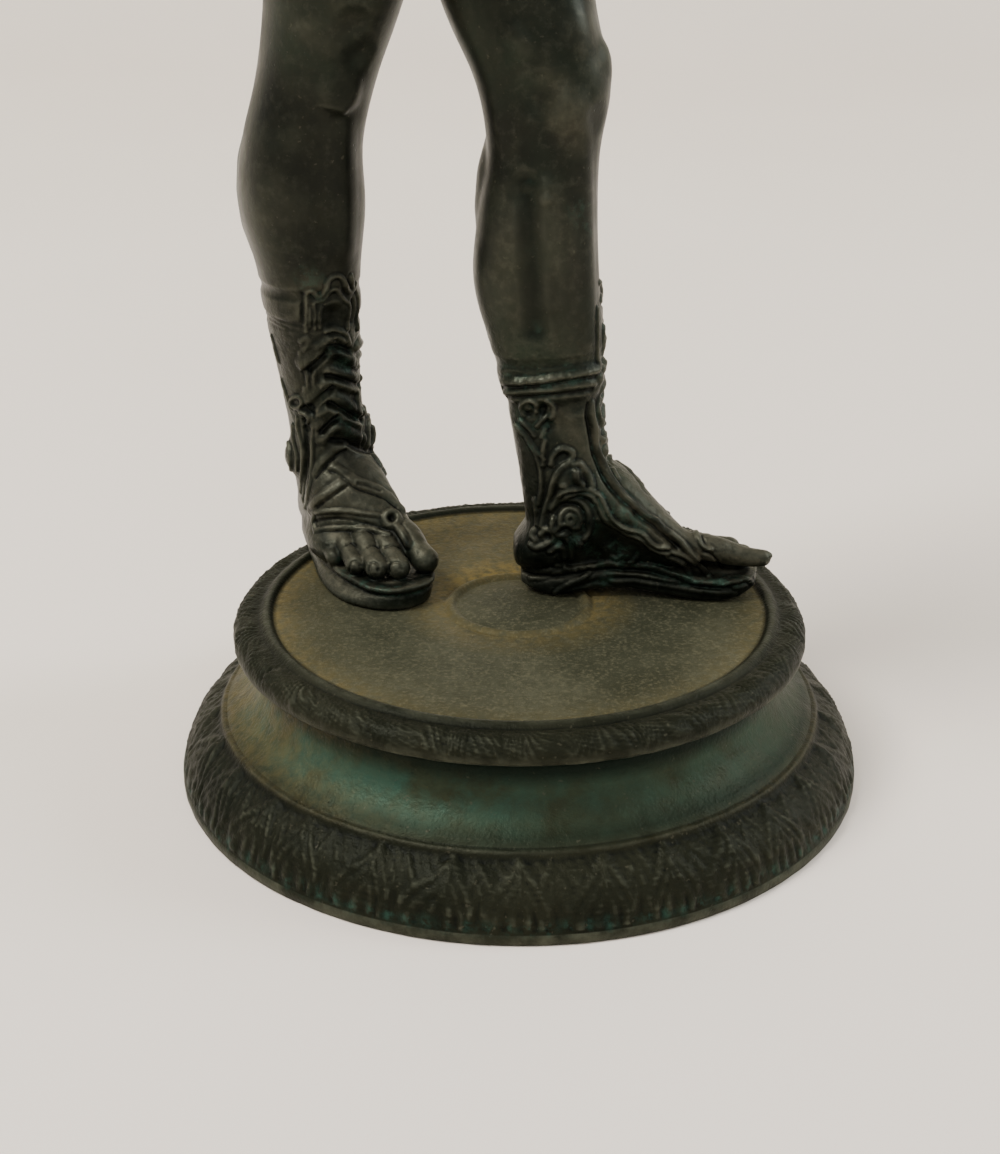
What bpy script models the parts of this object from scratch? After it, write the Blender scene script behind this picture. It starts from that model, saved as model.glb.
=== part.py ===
"""A cast bronze statuette of a classical youth in open-toed laced boots, on a turned round plinth.

Metres, +Z up. The origin is the centre of the plinth's underside, and the statue's front is towards -Y.
The figure is modelled in body units: one unit is a 330th of the figure's height.
"""

import math

import bmesh
import bpy
import numpy as np
from mathutils import Matrix, Vector

MM = 0.001

# Driving dimensions of the plinth, from the underside up
PLINTH_FOOT_RADIUS = 67.6 * MM
PLINTH_EDGE_HEIGHT = 3.2 * MM
LOWER_BAND_HEIGHT = 10.2 * MM
LOWER_BAND_TOP_RADIUS = 59.4 * MM
WAIST_RADIUS = 50.6 * MM
COVE_HEIGHT = 12.0 * MM
RIM_RADIUS = 56.5 * MM
RIM_HEIGHT = 7.6 * MM
DISC_RADIUS = 48.0 * MM
BEAD_WIDTH = 3.0 * MM
BEAD_RISE = 0.9 * MM
PLINTH_SIDES = 64
LEAF_COUNT = 32
LEAF_DEPTH = 0.7 * MM
RIM_LEAF_DEPTH = 0.5 * MM

# Driving dimensions of the figure
FIGURE_HEIGHT = 330.0 * MM
BODY_UNIT = FIGURE_HEIGHT / 330.0
SOLE_GAP = 0.3 * MM
SOLE_THICKNESS = 4.6
SOLE_DEPTH = -1.5
CLAY_VOXEL = 1.2
BODY_SOFTENING_COUNT = 8
DETAIL_SOFTENING_COUNT = 2
FIGURE_TRIANGLES = 6400

# The disc that the figure stands on
DISC_HEIGHT = PLINTH_EDGE_HEIGHT + LOWER_BAND_HEIGHT + COVE_HEIGHT + RIM_HEIGHT


def clear_scene():
    for thing in list(bpy.data.objects):
        bpy.data.objects.remove(thing, do_unlink=True)


def collection(name):
    group = bpy.data.collections.new(name)
    bpy.context.scene.collection.children.link(group)
    return group


def bronze(name, colour, roughness):
    material = bpy.data.materials.new(name)
    material.use_nodes = True
    shader = material.node_tree.nodes["Principled BSDF"]
    shader.inputs["Base Color"].default_value = (*colour, 1.0)
    shader.inputs["Roughness"].default_value = roughness
    shader.inputs["Metallic"].default_value = 0.6
    return material


def object_from(name, mesh, group):
    thing = bpy.data.objects.new(name, mesh)
    group.objects.link(thing)
    return thing


def applied(thing):
    """The object with its modifiers worked into its mesh."""
    depsgraph = bpy.context.evaluated_depsgraph_get()
    depsgraph.update()
    mesh = bpy.data.meshes.new_from_object(thing.evaluated_get(depsgraph))
    thing.modifiers.clear()
    thing.data = mesh
    return thing


# Clay: closed shapes that a voxel remesh fuses into one casting


def facing(turn):
    """The level direction that a part looks in, turned from -Y towards +X."""
    return Vector((math.sin(math.radians(turn)), -math.cos(math.radians(turn)), 0.0))


def leftward(turn):
    """The figure's own left when it faces that way."""
    return Vector((math.cos(math.radians(turn)), math.sin(math.radians(turn)), 0.0))


def smooth_rows(rows, steps):
    """Rows of numbers read from a smooth curve that passes through the given rows."""
    given = np.array(rows, float)
    padded = np.vstack([2 * given[0] - given[1], given, 2 * given[-1] - given[-2]])
    result = []
    for i in range(1, len(padded) - 2):
        before, start, end, after = padded[i - 1 : i + 3]
        for t in np.arange(steps) / steps:
            result.append(
                0.5
                * (
                    2 * start
                    + (end - before) * t
                    + (2 * before - 5 * start + 4 * end - after) * t**2
                    + (3 * start - before - 3 * end + after) * t**3
                )
            )
    result.append(given[-1])
    return np.array(result)


def ring(bm, centre, side, front, squareness, segments):
    """A level or tilted section: side and front are its half axes as vectors."""
    made = bmesh.ops.create_circle(bm, cap_ends=False, radius=1.0, segments=segments)
    for vert in made["verts"]:
        x, y = vert.co.x, vert.co.y
        reach = (abs(x) ** squareness + abs(y) ** squareness) ** (-1.0 / squareness)
        vert.co = centre + side * (x * reach) + front * (y * reach)
    return list({edge for vert in made["verts"] for edge in vert.link_edges})


def loft(bm, rings):
    """Bridges rings in turn and closes both ends."""
    for lower, upper in zip(rings, rings[1:]):
        bmesh.ops.bridge_loops(bm, edges=lower + upper)
    for end in (rings[0], rings[-1]):
        bmesh.ops.edgeloop_fill(bm, edges=end)


def trunk(bm, stations, squareness=2.3, segments=28, steps=3):
    """Level sections of the body: height, centre x and y, turn, half width and half depth."""
    rings = []
    for z, x, y, turn, width, depth in smooth_rows(stations, steps):
        side = leftward(turn) * width
        rings.append(
            ring(bm, Vector((x, y, z)), side, facing(turn) * depth, squareness, segments)
        )
    loft(bm, rings)


def sausage(bm, stations, front=None, segments=14, steps=3):
    """A limb along a path: x, y, z, half width and half depth, with rounded ends."""
    rows = smooth_rows(stations, steps)
    rings = []
    for i, row in enumerate(rows):
        ahead = Vector(rows[min(i + 1, len(rows) - 1)][:3])
        along = (ahead - Vector(rows[max(i - 1, 0)][:3])).normalized()
        guide = Vector(front) if front else Vector((0.0, -1.0, 0.0))
        if abs(guide.dot(along)) > 0.95:
            guide = Vector((0.0, 0.0, 1.0))
        side = along.cross(guide).normalized()
        deep = side.cross(along).normalized()
        rings.append(
            ring(bm, Vector(row[:3]), side * row[3], deep * row[4], 2.0, segments)
        )
    loft(bm, rings)
    for row in (rows[0], rows[-1]):
        ball(bm, row[:3], [min(row[3], row[4])] * 3)


def ball(bm, centre, radii, turn=0.0, tilt=0.0, segments=14):
    """An egg: half axes to its left, to its front and upwards, turned about Z and nodding by tilt."""
    place = (
        Matrix.Translation(Vector(centre))
        @ Matrix.Rotation(math.radians(turn), 4, "Z")
        @ Matrix.Rotation(math.radians(tilt), 4, "X")
        @ Matrix.Diagonal((*radii, 1.0))
    )
    bmesh.ops.create_uvsphere(
        bm, u_segments=segments, v_segments=segments // 2, radius=1.0, matrix=place
    )


# Where the body stands, in body units above the disc
RIGHT_FOOT = {
    "heel": (-41.6, 34.2),
    "turn": 25.0,
    "length": 43.0,
    "medial": 1.0,
    "instep": 1.0,
    "toes_on": 0.0,
    "big_toe_on": 0.0,
}
LEFT_FOOT = {
    "heel": (-1.4, 9.4),
    "turn": 91.5,
    "length": 49.6,
    "medial": -1.0,
    "instep": 1.09,
    "toes_on": 0.05,
    "big_toe_on": 0.1,
}

# Leg sections: height, centre x and y, turn, half width and half depth
RIGHT_LEG = [
    (12, -38.2, 27.0, 20, 7.6, 9.0),
    (20, -38.8, 25.6, 20, 7.7, 8.8),
    (28, -39.2, 25.0, 20, 7.6, 8.2),
    (38, -40.2, 24.4, 20, 7.9, 8.4),
    (50, -41.0, 24.0, 20, 9.0, 9.8),
    (62, -41.5, 23.6, 20, 10.0, 11.2),
    (74, -42.1, 22.8, 20, 12.0, 12.6),
    (86, -41.4, 21.6, 22, 11.2, 12.0),
    (98, -38.2, 20.8, 24, 11.0, 11.6),
    (110, -34.8, 19.2, 26, 12.1, 12.9),
    (125, -31.6, 16.8, 30, 13.8, 14.8),
    (140, -29.4, 14.4, 34, 15.2, 16.4),
    (156, -28.4, 12.6, 40, 15.8, 17.6),
    (172, -28.6, 11.8, 46, 14.6, 16.6),
]
LEFT_LEG = [
    (12, 10.4, 9.6, 91, 6.6, 9.6),
    (20, 9.6, 9.8, 91, 6.8, 9.6),
    (28, 8.2, 10.2, 91, 6.7, 8.9),
    (38, 6.7, 10.8, 90, 7.0, 9.3),
    (50, 5.1, 11.6, 89, 8.6, 11.0),
    (62, 3.0, 12.4, 88, 10.2, 12.0),
    (74, 3.1, 13.2, 87, 10.6, 11.3),
    (86, 4.1, 14.2, 86, 10.0, 10.5),
    (98, 4.0, 15.2, 84, 10.4, 12.4),
    (110, -0.1, 17.6, 80, 11.8, 13.8),
    (125, -3.8, 21.0, 74, 13.4, 15.4),
    (140, -6.6, 24.6, 66, 14.8, 16.8),
    (156, -8.2, 28.0, 56, 15.4, 17.6),
    (172, -9.0, 30.4, 50, 14.4, 16.4),
]
TORSO = [
    (150, -18.6, 20.6, 48, 26.0, 15.0),
    (160, -18.8, 20.4, 48, 28.0, 17.6),
    (172, -19.2, 20.4, 48, 28.6, 18.0),
    (184, -19.4, 20.8, 46, 26.8, 16.8),
    (196, -19.0, 21.6, 44, 24.2, 15.4),
    (208, -18.4, 22.4, 42, 22.6, 14.4),
    (220, -18.0, 23.2, 40, 23.6, 14.8),
    (234, -17.8, 24.0, 38, 27.0, 16.4),
    (248, -18.2, 24.2, 36, 31.0, 17.6),
    (258, -18.8, 24.4, 34, 33.4, 16.2),
    (265, -19.2, 24.8, 33, 32.6, 12.8),
    (271, -19.4, 25.0, 32, 24.6, 11.2),
    (278, -19.4, 24.4, 30, 13.6, 10.4),
    (288, -19.8, 22.6, 26, 9.4, 9.8),
    (300, -20.2, 19.8, 20, 9.0, 9.6),
]

# Muscles on the trunk: height, then left and front of its axis, and half axes
TRUNK_MUSCLES = [
    (247, -12.0, 10.4, (12.8, 8.0, 9.4)),
    (248, 12.0, 10.4, (12.8, 8.0, 9.4)),
    (246, -23.6, -3.0, (6.4, 10.6, 17.0)),
    (246, 23.6, -3.0, (6.4, 10.6, 17.0)),
    (254, -12.4, -10.6, (11.6, 7.0, 12.0)),
    (256, 12.4, -10.6, (11.6, 7.0, 12.0)),
    (269, -13.6, -3.0, (15.0, 7.8, 7.6)),
    (270, 13.6, -3.0, (15.0, 7.8, 7.6)),
    (261, -24.0, -0.6, (13.0, 10.0, 8.6)),
    (262, 24.0, -0.6, (13.0, 10.0, 8.6)),
    (249, -33.2, -0.6, (9.4, 10.2, 15.4)),
    (251, 33.2, -0.8, (9.4, 10.2, 15.4)),
    (222, 0.0, 9.0, (9.6, 6.6, 22.0)),
    (163, -11.6, -9.6, (13.0, 12.0, 14.4)),
    (162, 11.6, -9.6, (13.0, 12.0, 14.4)),
]

# Muscles and bones of each leg, placed the same way
RIGHT_LEG_FORMS = [
    (99, 0.4, 9.6, (5.4, 3.6, 6.6)),
    (76, -3.6, -5.6, (8.0, 8.0, 17.0)),
    (26, 6.0, 0.0, (3.6, 4.2, 4.6)),
    (23, -6.2, -1.0, (3.4, 4.0, 4.4)),
]
LEFT_LEG_FORMS = [
    (100, 0.0, 10.2, (5.2, 3.6, 6.8)),
    (76, 3.0, -5.0, (7.4, 7.4, 16.0)),
    (26, -5.4, 0.0, (3.4, 4.2, 4.6)),
    (23, 5.4, -1.0, (3.4, 4.0, 4.4)),
]

# Arms: height, then left and front of the chest's axis, half width and half depth
RIGHT_ARM = [
    (253, -31.4, -0.2, 7.6, 8.6),
    (247, -34.0, -0.6, 7.9, 9.2),
    (236, -35.0, -1.6, 7.6, 9.0),
    (220, -34.4, -2.6, 6.6, 7.4),
    (211, -34.6, -2.6, 6.9, 7.2),
    (199, -36.0, 0.0, 6.9, 7.0),
    (184, -38.8, 4.6, 5.4, 5.6),
    (170, -40.6, 9.0, 3.9, 4.5),
]
LEFT_ARM = [
    (255, 31.4, -0.6, 7.6, 8.6),
    (249, 34.4, -2.4, 7.9, 9.2),
    (238, 36.0, -5.0, 7.6, 9.0),
    (222, 35.4, -7.8, 6.6, 7.4),
    (213, 35.0, -7.0, 7.0, 7.2),
    (203, 35.2, 0.4, 6.8, 6.8),
    (193, 34.4, 9.0, 5.4, 5.4),
    (185, 31.0, 17.0, 4.4, 4.0),
]
CHEST_HEIGHT = 248


class Axis:
    """The line up the middle of a table of sections, and directions about it."""

    def __init__(self, sections):
        self.table = np.array(sections, float)

    def at(self, height):
        x, y, turn = (np.interp(height, self.table[:, 0], self.table[:, i]) for i in (1, 2, 3))
        return Vector((float(x), float(y), height)), float(turn)

    def point(self, height, left, front, frame_height=None):
        centre, turn = self.at(frame_height or height)
        place = centre + leftward(turn) * left + facing(turn) * front
        place.z = height
        return place


def forms(bm, axis, rows):
    for height, left, front, radii in rows:
        ball(bm, axis.point(height, left, front), radii, axis.at(height)[1])


def arm(bm, rows):
    axis = Axis(TORSO)
    path = [(*axis.point(z, left, front, CHEST_HEIGHT), w, d) for z, left, front, w, d in rows]
    sausage(bm, path, front=facing(axis.at(CHEST_HEIGHT)[1]))
    return Vector(path[-1][:3])


def body(bm):
    trunk(bm, RIGHT_LEG)
    trunk(bm, LEFT_LEG)
    trunk(bm, TORSO, squareness=2.5)
    arm(bm, RIGHT_ARM)
    arm(bm, LEFT_ARM)
    forms(bm, Axis(TORSO), TRUNK_MUSCLES)
    forms(bm, Axis(RIGHT_LEG), RIGHT_LEG_FORMS)
    forms(bm, Axis(LEFT_LEG), LEFT_LEG_FORMS)


def hand(bm, wrist, fingers, palm, medial):
    """A relaxed hand: the palm leaves the wrist along fingers and faces along palm."""
    along = Vector(fingers).normalized()
    across = along.cross(Vector(palm)).normalized() * medial
    inward = Vector(palm).normalized()
    start = Vector(wrist)
    knuckles = start + along * 14.0
    sausage(
        bm,
        [
            (*start, 4.6, 3.4),
            (*(start + along * 7.0), 6.6, 3.5),
            (*knuckles, 7.2, 3.0),
        ],
        front=inward,
    )
    for i in range(4):
        spread = (1.5 - i) * 3.7
        reach = (15.0, 17.0, 16.0, 12.6)[i]
        base = knuckles + across * spread
        middle = base + along * reach * 0.55 + inward * 2.2 + across * spread * 0.06
        tip = base + along * reach * 0.92 + inward * 6.2
        sausage(
            bm, [(*base, 2.3, 2.3), (*middle, 2.1, 2.1), (*tip, 1.8, 1.8)], segments=10
        )
    thumb_root = start + along * 5.0 + across * 5.0 + inward * 1.6
    thumb_mid = thumb_root + along * 7.0 + across * 3.4 + inward * 2.6
    thumb_tip = thumb_mid + along * 7.0 + inward * 2.0
    sausage(
        bm,
        [(*thumb_root, 2.9, 2.9), (*thumb_mid, 2.6, 2.6), (*thumb_tip, 2.1, 2.1)],
        segments=10,
    )


# The upper from heel to toes: share of the length, across, half width, middle height, half height
UPPER = [
    (0.005, 0.0, 4.4, 7.8, 2.6),
    (0.045, 0.0, 6.1, 8.8, 4.2),
    (0.10, -0.1, 7.2, 10.4, 6.4),
    (0.18, -0.2, 7.9, 12.8, 9.2),
    (0.30, -0.4, 8.3, 14.8, 11.0),
    (0.42, -0.2, 8.4, 13.8, 9.8),
    (0.50, 0.9, 7.8, 12.6, 8.0),
    (0.56, 2.6, 6.5, 11.6, 6.2),
    (0.62, 4.2, 5.1, 10.6, 4.8),
    (0.68, 5.9, 3.4, 9.8, 3.4),
    (0.73, 6.6, 2.8, 9.4, 2.6),
]
# The low outer wall of the forefoot, in the same terms
OUTER_WALL = [
    (0.18, -3.6, 4.4, 7.0, 3.2),
    (0.30, -4.2, 5.0, 7.2, 3.8),
    (0.40, -4.6, 5.3, 7.4, 4.2),
    (0.48, -4.6, 5.2, 7.4, 4.2),
    (0.55, -4.0, 4.8, 7.0, 3.6),
    (0.60, -3.2, 4.2, 6.6, 2.8),
]
# The sole: share of the length, medial and lateral half widths at its foot, then at its lip
SOLE = [
    (0.02, 3.2, 3.2, 3.0, 3.0),
    (0.09, 5.5, 5.3, 5.3, 5.0),
    (0.20, 6.9, 6.7, 6.7, 6.2),
    (0.35, 6.6, 7.9, 6.6, 7.2),
    (0.48, 6.9, 9.0, 6.9, 7.9),
    (0.60, 8.0, 9.5, 8.2, 7.7),
    (0.72, 9.1, 9.1, 9.5, 7.0),
    (0.82, 9.5, 7.7, 10.2, 5.8),
    (0.90, 8.5, 5.4, 9.6, 4.2),
    (0.96, 6.2, 2.2, 7.2, 1.9),
    (0.985, 3.0, -0.8, 3.4, -0.8),
]
# Toes from the big one: along and across at the root, then at the tip, and radius
TOES = [
    (26.5, 6.3, 39.6, 8.2, 2.75),
    (24.0, 2.8, 39.6, 2.4, 2.35),
    (21.0, -0.6, 37.8, -1.6, 2.3),
    (18.0, -3.8, 34.0, -4.6, 2.05),
    (15.0, -6.4, 27.6, -7.0, 1.75),
]
# The toes' lengths are given for a foot of this length
TOE_SCALE = 43.0


class Foot:
    """Places points on a foot: along it, across it towards the big toe, and up."""

    def __init__(self, facts):
        self.heel = Vector((*facts["heel"], 0.0))
        self.turn = facts["turn"]
        self.length = facts["length"]
        self.ahead = facing(self.turn)
        self.medial = leftward(self.turn) * facts["medial"]
        self.instep = facts["instep"]
        self.toes_on = facts["toes_on"]
        self.big_toe_on = facts["big_toe_on"]

    def at(self, share, across, height):
        return (
            self.heel
            + self.ahead * (share * self.length)
            + self.medial * across
            + Vector((0.0, 0.0, height))
        )


def foot_flesh(bm, foot):
    up = Vector((0.0, 0.0, 1.0))
    for table in (UPPER, OUTER_WALL):
        rings = []
        for share, across, width, middle, half in smooth_rows(table, 3):
            lift = 1.0 + (foot.instep - 1.0) * math.sin(math.pi * share)
            centre = foot.at(share, across, middle * lift)
            rings.append(ring(bm, centre, foot.medial * width, up * half * lift, 2.3, 24))
        loft(bm, rings)


def toes(bm, foot):
    """Long toes side by side, each a little bent down to its tip."""
    floor = SOLE_THICKNESS
    for i, (root, root_across, tip, tip_across, radius) in enumerate(TOES):
        reach = foot.toes_on if i else foot.big_toe_on
        start = root / TOE_SCALE + 0.5 * reach
        end = tip / TOE_SCALE + reach - radius / foot.length
        path = []
        for way, height in ((0.0, 2.4), (0.4, 2.0), (0.72, 1.35), (1.0, 0.95)):
            share = start + (end - start) * way
            across = root_across + (tip_across - root_across) * way
            path.append((*foot.at(share, across, floor + radius * height), radius, radius))
        sausage(bm, path, segments=12)


def sole(bm, foot, low, high):
    """A sole that narrows upwards on its outer side, as the photo shows."""
    rows = smooth_rows(SOLE, 3)
    rings = []
    for level, up in ((low, 0.0), (high, 1.0)):
        medial = [foot.at(t, m + (lip - m) * up, level) for t, m, _, lip, _ in rows]
        lateral = [foot.at(t, -side - (lip - side) * up, level) for t, _, side, _, lip in rows]
        corners = [bm.verts.new(spot) for spot in medial + lateral[::-1]]
        pairs = zip(corners, corners[1:] + corners[:1])
        rings.append([bm.edges.new(pair) for pair in pairs])
    loft(bm, rings)


def head(bm):
    """The head in its own frame, looking along -Y, then bowed and turned on its neck."""
    own = bmesh.new()
    ball(own, (0, 2.4, 6.0), (14.6, 17.2, 15.6), segments=24)
    face = [
        (14.0, 0.0, 0.8, 0, 11.4, 12.2),
        (9.0, 0.0, -0.2, 0, 13.2, 15.0),
        (3.0, 0.0, -0.8, 0, 13.6, 15.8),
        (-3.0, 0.0, -1.8, 0, 13.0, 15.4),
        (-9.0, 0.0, -3.6, 0, 11.6, 14.0),
        (-15.0, 0.0, -5.6, 0, 9.2, 11.8),
        (-19.6, 0.0, -8.2, 0, 6.0, 8.6),
    ]
    trunk(own, face, squareness=2.2)
    nose = [(0, -15.6, 5.0, 1.5, 1.8), (0, -18.0, 0.0, 1.5, 1.9), (0, -19.8, -4.6, 1.9, 2.0)]
    sausage(own, nose)
    ball(own, (0, -13.8, -17.0), (4.2, 3.4, 3.4))
    ball(own, (0, -16.6, -9.8), (3.3, 1.8, 1.1))
    ball(own, (0, -16.3, -12.0), (2.9, 1.8, 1.2))
    for side in (-1.0, 1.0):
        ball(own, (side * 2.0, -17.8, -5.2), (1.4, 1.8, 1.4))
        sausage(own, [(side * 2.4, -15.9, 5.4, 1.1, 1.5), (side * 10.4, -12.4, 5.4, 1.1, 1.3)])
        ball(own, (side * 5.7, -14.6, 1.6), (2.9, 1.9, 1.7))
        ball(own, (side * 7.4, -10.4, -4.6), (4.4, 4.4, 4.2))
        ball(own, (side * 13.8, 2.0, 0.4), (1.7, 3.4, 5.0), tilt=-12)
    hair(own)
    place = (
        Matrix.Translation(HEAD_CENTRE)
        @ Matrix.Rotation(math.radians(HEAD_TURN), 4, "Z")
        @ Matrix.Rotation(math.radians(HEAD_ROLL), 4, "Y")
        @ Matrix.Rotation(math.radians(HEAD_NOD), 4, "X")
        @ Matrix.Scale(HEAD_SCALE, 4)
    )
    own.transform(place)
    copy = bpy.data.meshes.new("head")
    own.to_mesh(copy)
    own.free()
    bm.from_mesh(copy)


HEAD_CENTRE = (-20.6, 15.8, 305.0)
HEAD_SCALE = 1.03
HEAD_TURN = 16.0
HEAD_ROLL = -6.0
HEAD_NOD = 18.0
CURL_COUNT = 120
GOLDEN_TURN = math.pi * (3.0 - math.sqrt(5.0))


def hair(own):
    """Short curls set in a spiral over the skull, down to the hairline and the nape."""
    for i in range(CURL_COUNT):
        level = 1.0 - 1.75 * (i + 0.5) / CURL_COUNT
        around = i * GOLDEN_TURN
        reach = math.sqrt(1.0 - level * level)
        x, y = reach * math.sin(around), -reach * math.cos(around)
        hairline = 0.36 if y < -0.25 else -0.1 if y < 0.2 else -0.75
        if level < hairline:
            continue
        centre = (x * 14.8, 2.6 + y * 17.0, 5.6 + level * 15.6)
        ball(own, centre, (3.0, 3.0, 2.8), segments=8)


# The hip cloth: height, centre x and y, turn, half width and half depth
HIP_CLOTH = [
    (136, -17.8, 20.4, 50, 31.0, 24.0),
    (148, -18.0, 20.6, 50, 32.0, 23.6),
    (160, -18.6, 20.8, 49, 32.6, 23.0),
    (172, -19.0, 20.8, 48, 32.0, 22.0),
    (184, -19.2, 21.0, 46, 29.4, 19.8),
    (194, -19.0, 21.4, 44, 26.8, 18.0),
]
FOLD_COUNT = 13
FOLD_DEPTH = 3.0
FOLD_DRIFT = 1.1


def fold(around, drop):
    """How far a fold stands out, from 0 to 1: sharp ridges that slant round the hips."""
    slant = around * FOLD_COUNT + drop * FOLD_DRIFT * math.pi
    wave = 0.5 + 0.5 * math.sin(slant + 0.9 * math.sin(around * 3.0 + drop * 2.0))
    return wave**1.5


def hip_cloth(bm, segments=132, steps=3):
    rings = []
    rows = smooth_rows(HIP_CLOTH, steps)
    top, bottom = rows[-1][0], rows[0][0]
    for z, x, y, turn, width, depth in rows:
        drop = (top - z) / (top - bottom)
        centre = Vector((x, y, z))
        made = ring(bm, centre, leftward(turn) * width, facing(turn) * depth, 2.3, segments)
        corners = {vert for edge in made for vert in edge.verts}
        for vert in corners:
            out = vert.co - centre
            around = math.atan2(out.y, out.x)
            rise = FOLD_DEPTH * (0.25 + 0.75 * drop) * fold(around, drop)
            vert.co += out.normalized() * (rise - 1.0)
            hem = 2.4 * math.sin(around * 2.0 + 0.6) * drop
            vert.co.z += hem
        rings.append(made)
    loft(bm, rings)


# The rolled edge: centre, turn, half width, half depth, dip to the side, ripple and thickness
ROLL_CENTRE = (-19.0, 21.4, 195.0)
ROLL_TURN = 44.0
ROLL_WIDTH = 26.6
ROLL_DEPTH = 17.8
ROLL_DIP = 3.0
ROLL_RIPPLE = 0.8
ROLL_THICKNESS = (3.0, 2.7)
# The knot: how far left, in front and below the roll's centre it lies, and its half axes
KNOT_PLACE = (25.0, 10.0, -4.0)
KNOT_SIZE = (4.6, 4.4, 4.2)
# The knot's two short ends: how far each spreads to the left and how far it hangs
KNOT_ENDS = [(-1.0, 30.0), (6.0, 24.0)]
KNOT_END_FORWARD = 1.5
KNOT_END_BULGE = 1.6
KNOT_END_SIZES = [(2.4, 2.2), (4.0, 2.0), (5.2, 1.8)]


def roll_and_knot(bm):
    """The cloth's rolled upper edge, tied in a knot on the left hip with two short ends."""
    around = np.linspace(0.0, 2.0 * math.pi, 41)[:-1]
    left, front = leftward(ROLL_TURN), facing(ROLL_TURN)
    middle = Vector(ROLL_CENTRE)
    path = []
    for angle in list(around) + [around[0], around[1]]:
        side = left * (ROLL_WIDTH * math.cos(angle)) + front * (ROLL_DEPTH * math.sin(angle))
        rise = ROLL_RIPPLE * math.sin(angle * 9.0) - ROLL_DIP * math.cos(angle)
        centre = middle + side + Vector((0.0, 0.0, rise))
        path.append((*centre, *ROLL_THICKNESS))
    sausage(bm, path, segments=10, steps=1)
    across, ahead, below = KNOT_PLACE
    knot = middle + left * across + front * ahead + Vector((0.0, 0.0, below))
    ball(bm, knot, KNOT_SIZE, ROLL_TURN)
    for spread, drop in KNOT_ENDS:
        end = knot + left * spread + front * KNOT_END_FORWARD - Vector((0.0, 0.0, drop))
        half_way = (knot + end) / 2.0 + left * KNOT_END_BULGE
        spots = (knot, half_way, end)
        sausage(bm, [(*spot, *size) for spot, size in zip(spots, KNOT_END_SIZES)])


def boot_band(bm, axis, height, half_width, half_depth, thickness):
    """A raised band round the shin."""
    centre, turn = axis.at(height)
    path = []
    for angle in np.linspace(0.0, 2.0 * math.pi, 26):
        spot = (
            centre
            + leftward(turn) * (half_width * math.cos(angle))
            + facing(turn) * (half_depth * math.sin(angle))
        )
        path.append((*spot, thickness, thickness))
    sausage(bm, path, segments=8, steps=1)


# The tongue that stands up over each shin: its heights, its reach in front there, half width
RIGHT_FLAP = ((46.0, 66.0), (9.6, 11.0), 5.0)
LEFT_FLAP = ((40.0, 61.0), (9.8, 11.8), 4.6)
FLAP_INSET = 1.2
FLAP_THICKNESS = 1.9


def front_flap(bm, axis, heights, reaches, half_width):
    """The tongue that stands up over the shin at the boot's front."""
    path = []
    for height in np.linspace(*heights, 6):
        reach = float(np.interp(height, heights, reaches)) - FLAP_INSET
        path.append((*axis.point(height, 0.0, reach), half_width, FLAP_THICKNESS))
    sausage(bm, path, front=facing(axis.at(heights[0])[1]), steps=1)


# Bands of each boot: height, half width, half depth and thickness
RIGHT_BANDS = [(56.0, 9.4, 10.4, 1.1)]
LEFT_BANDS = [(44.5, 7.9, 10.3, 1.2), (41.6, 7.6, 9.9, 0.8)]


def mesh_of(build):
    """A closed clay mesh from a function that fills a bmesh."""
    bm = bmesh.new()
    build(bm)
    bmesh.ops.recalc_face_normals(bm, faces=bm.faces[:])
    mesh = bpy.data.meshes.new("clay")
    bm.to_mesh(mesh)
    bm.free()
    return mesh


def details(bm):
    """All that is set on the softened body: feet, boots, hands, cloth and head."""
    for facts in (RIGHT_FOOT, LEFT_FOOT):
        foot = Foot(facts)
        foot_flesh(bm, foot)
        toes(bm, foot)
        sole(bm, foot, SOLE_DEPTH, SOLE_THICKNESS)
    right, left = Axis(RIGHT_LEG), Axis(LEFT_LEG)
    for band in RIGHT_BANDS:
        boot_band(bm, right, *band)
    for band in LEFT_BANDS:
        boot_band(bm, left, *band)
    front_flap(bm, right, *RIGHT_FLAP)
    front_flap(bm, left, *LEFT_FLAP)
    right_wrist = Axis(TORSO).point(*RIGHT_ARM[-1][:3], CHEST_HEIGHT)
    left_wrist = Axis(TORSO).point(*LEFT_ARM[-1][:3], CHEST_HEIGHT)
    hand(bm, right_wrist, (0.12, -0.16, -1.0), (0.85, 0.5, 0.0), 1.0)
    hand(bm, left_wrist, (-0.62, -0.72, -0.36), (-0.6, 0.4, -0.2), -1.0)
    hip_cloth(bm)
    roll_and_knot(bm)
    head(bm)


def fused(thing, softening):
    """One skin round all the clay of an object, softened a little."""
    fuse = thing.modifiers.new("fuse", "REMESH")
    fuse.mode = "VOXEL"
    fuse.voxel_size = CLAY_VOXEL
    soften = thing.modifiers.new("soften", "SMOOTH")
    soften.factor = 0.5
    soften.iterations = round(softening)
    applied(thing)


def keep_largest_body(mesh):
    """Drops the small closed skins that a remesh can leave inside or beside the casting."""
    bm = bmesh.new()
    bm.from_mesh(mesh)
    unseen = set(bm.verts)
    bodies = []
    while unseen:
        stack = [unseen.pop()]
        body = list(stack)
        while stack:
            for edge in stack.pop().link_edges:
                for vert in edge.verts:
                    if vert in unseen:
                        unseen.remove(vert)
                        stack.append(vert)
                        body.append(vert)
        bodies.append(body)
    bodies.sort(key=len)
    for body in bodies[:-1]:
        bmesh.ops.delete(bm, geom=body, context="VERTS")
    bm.to_mesh(mesh)
    bm.free()


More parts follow.
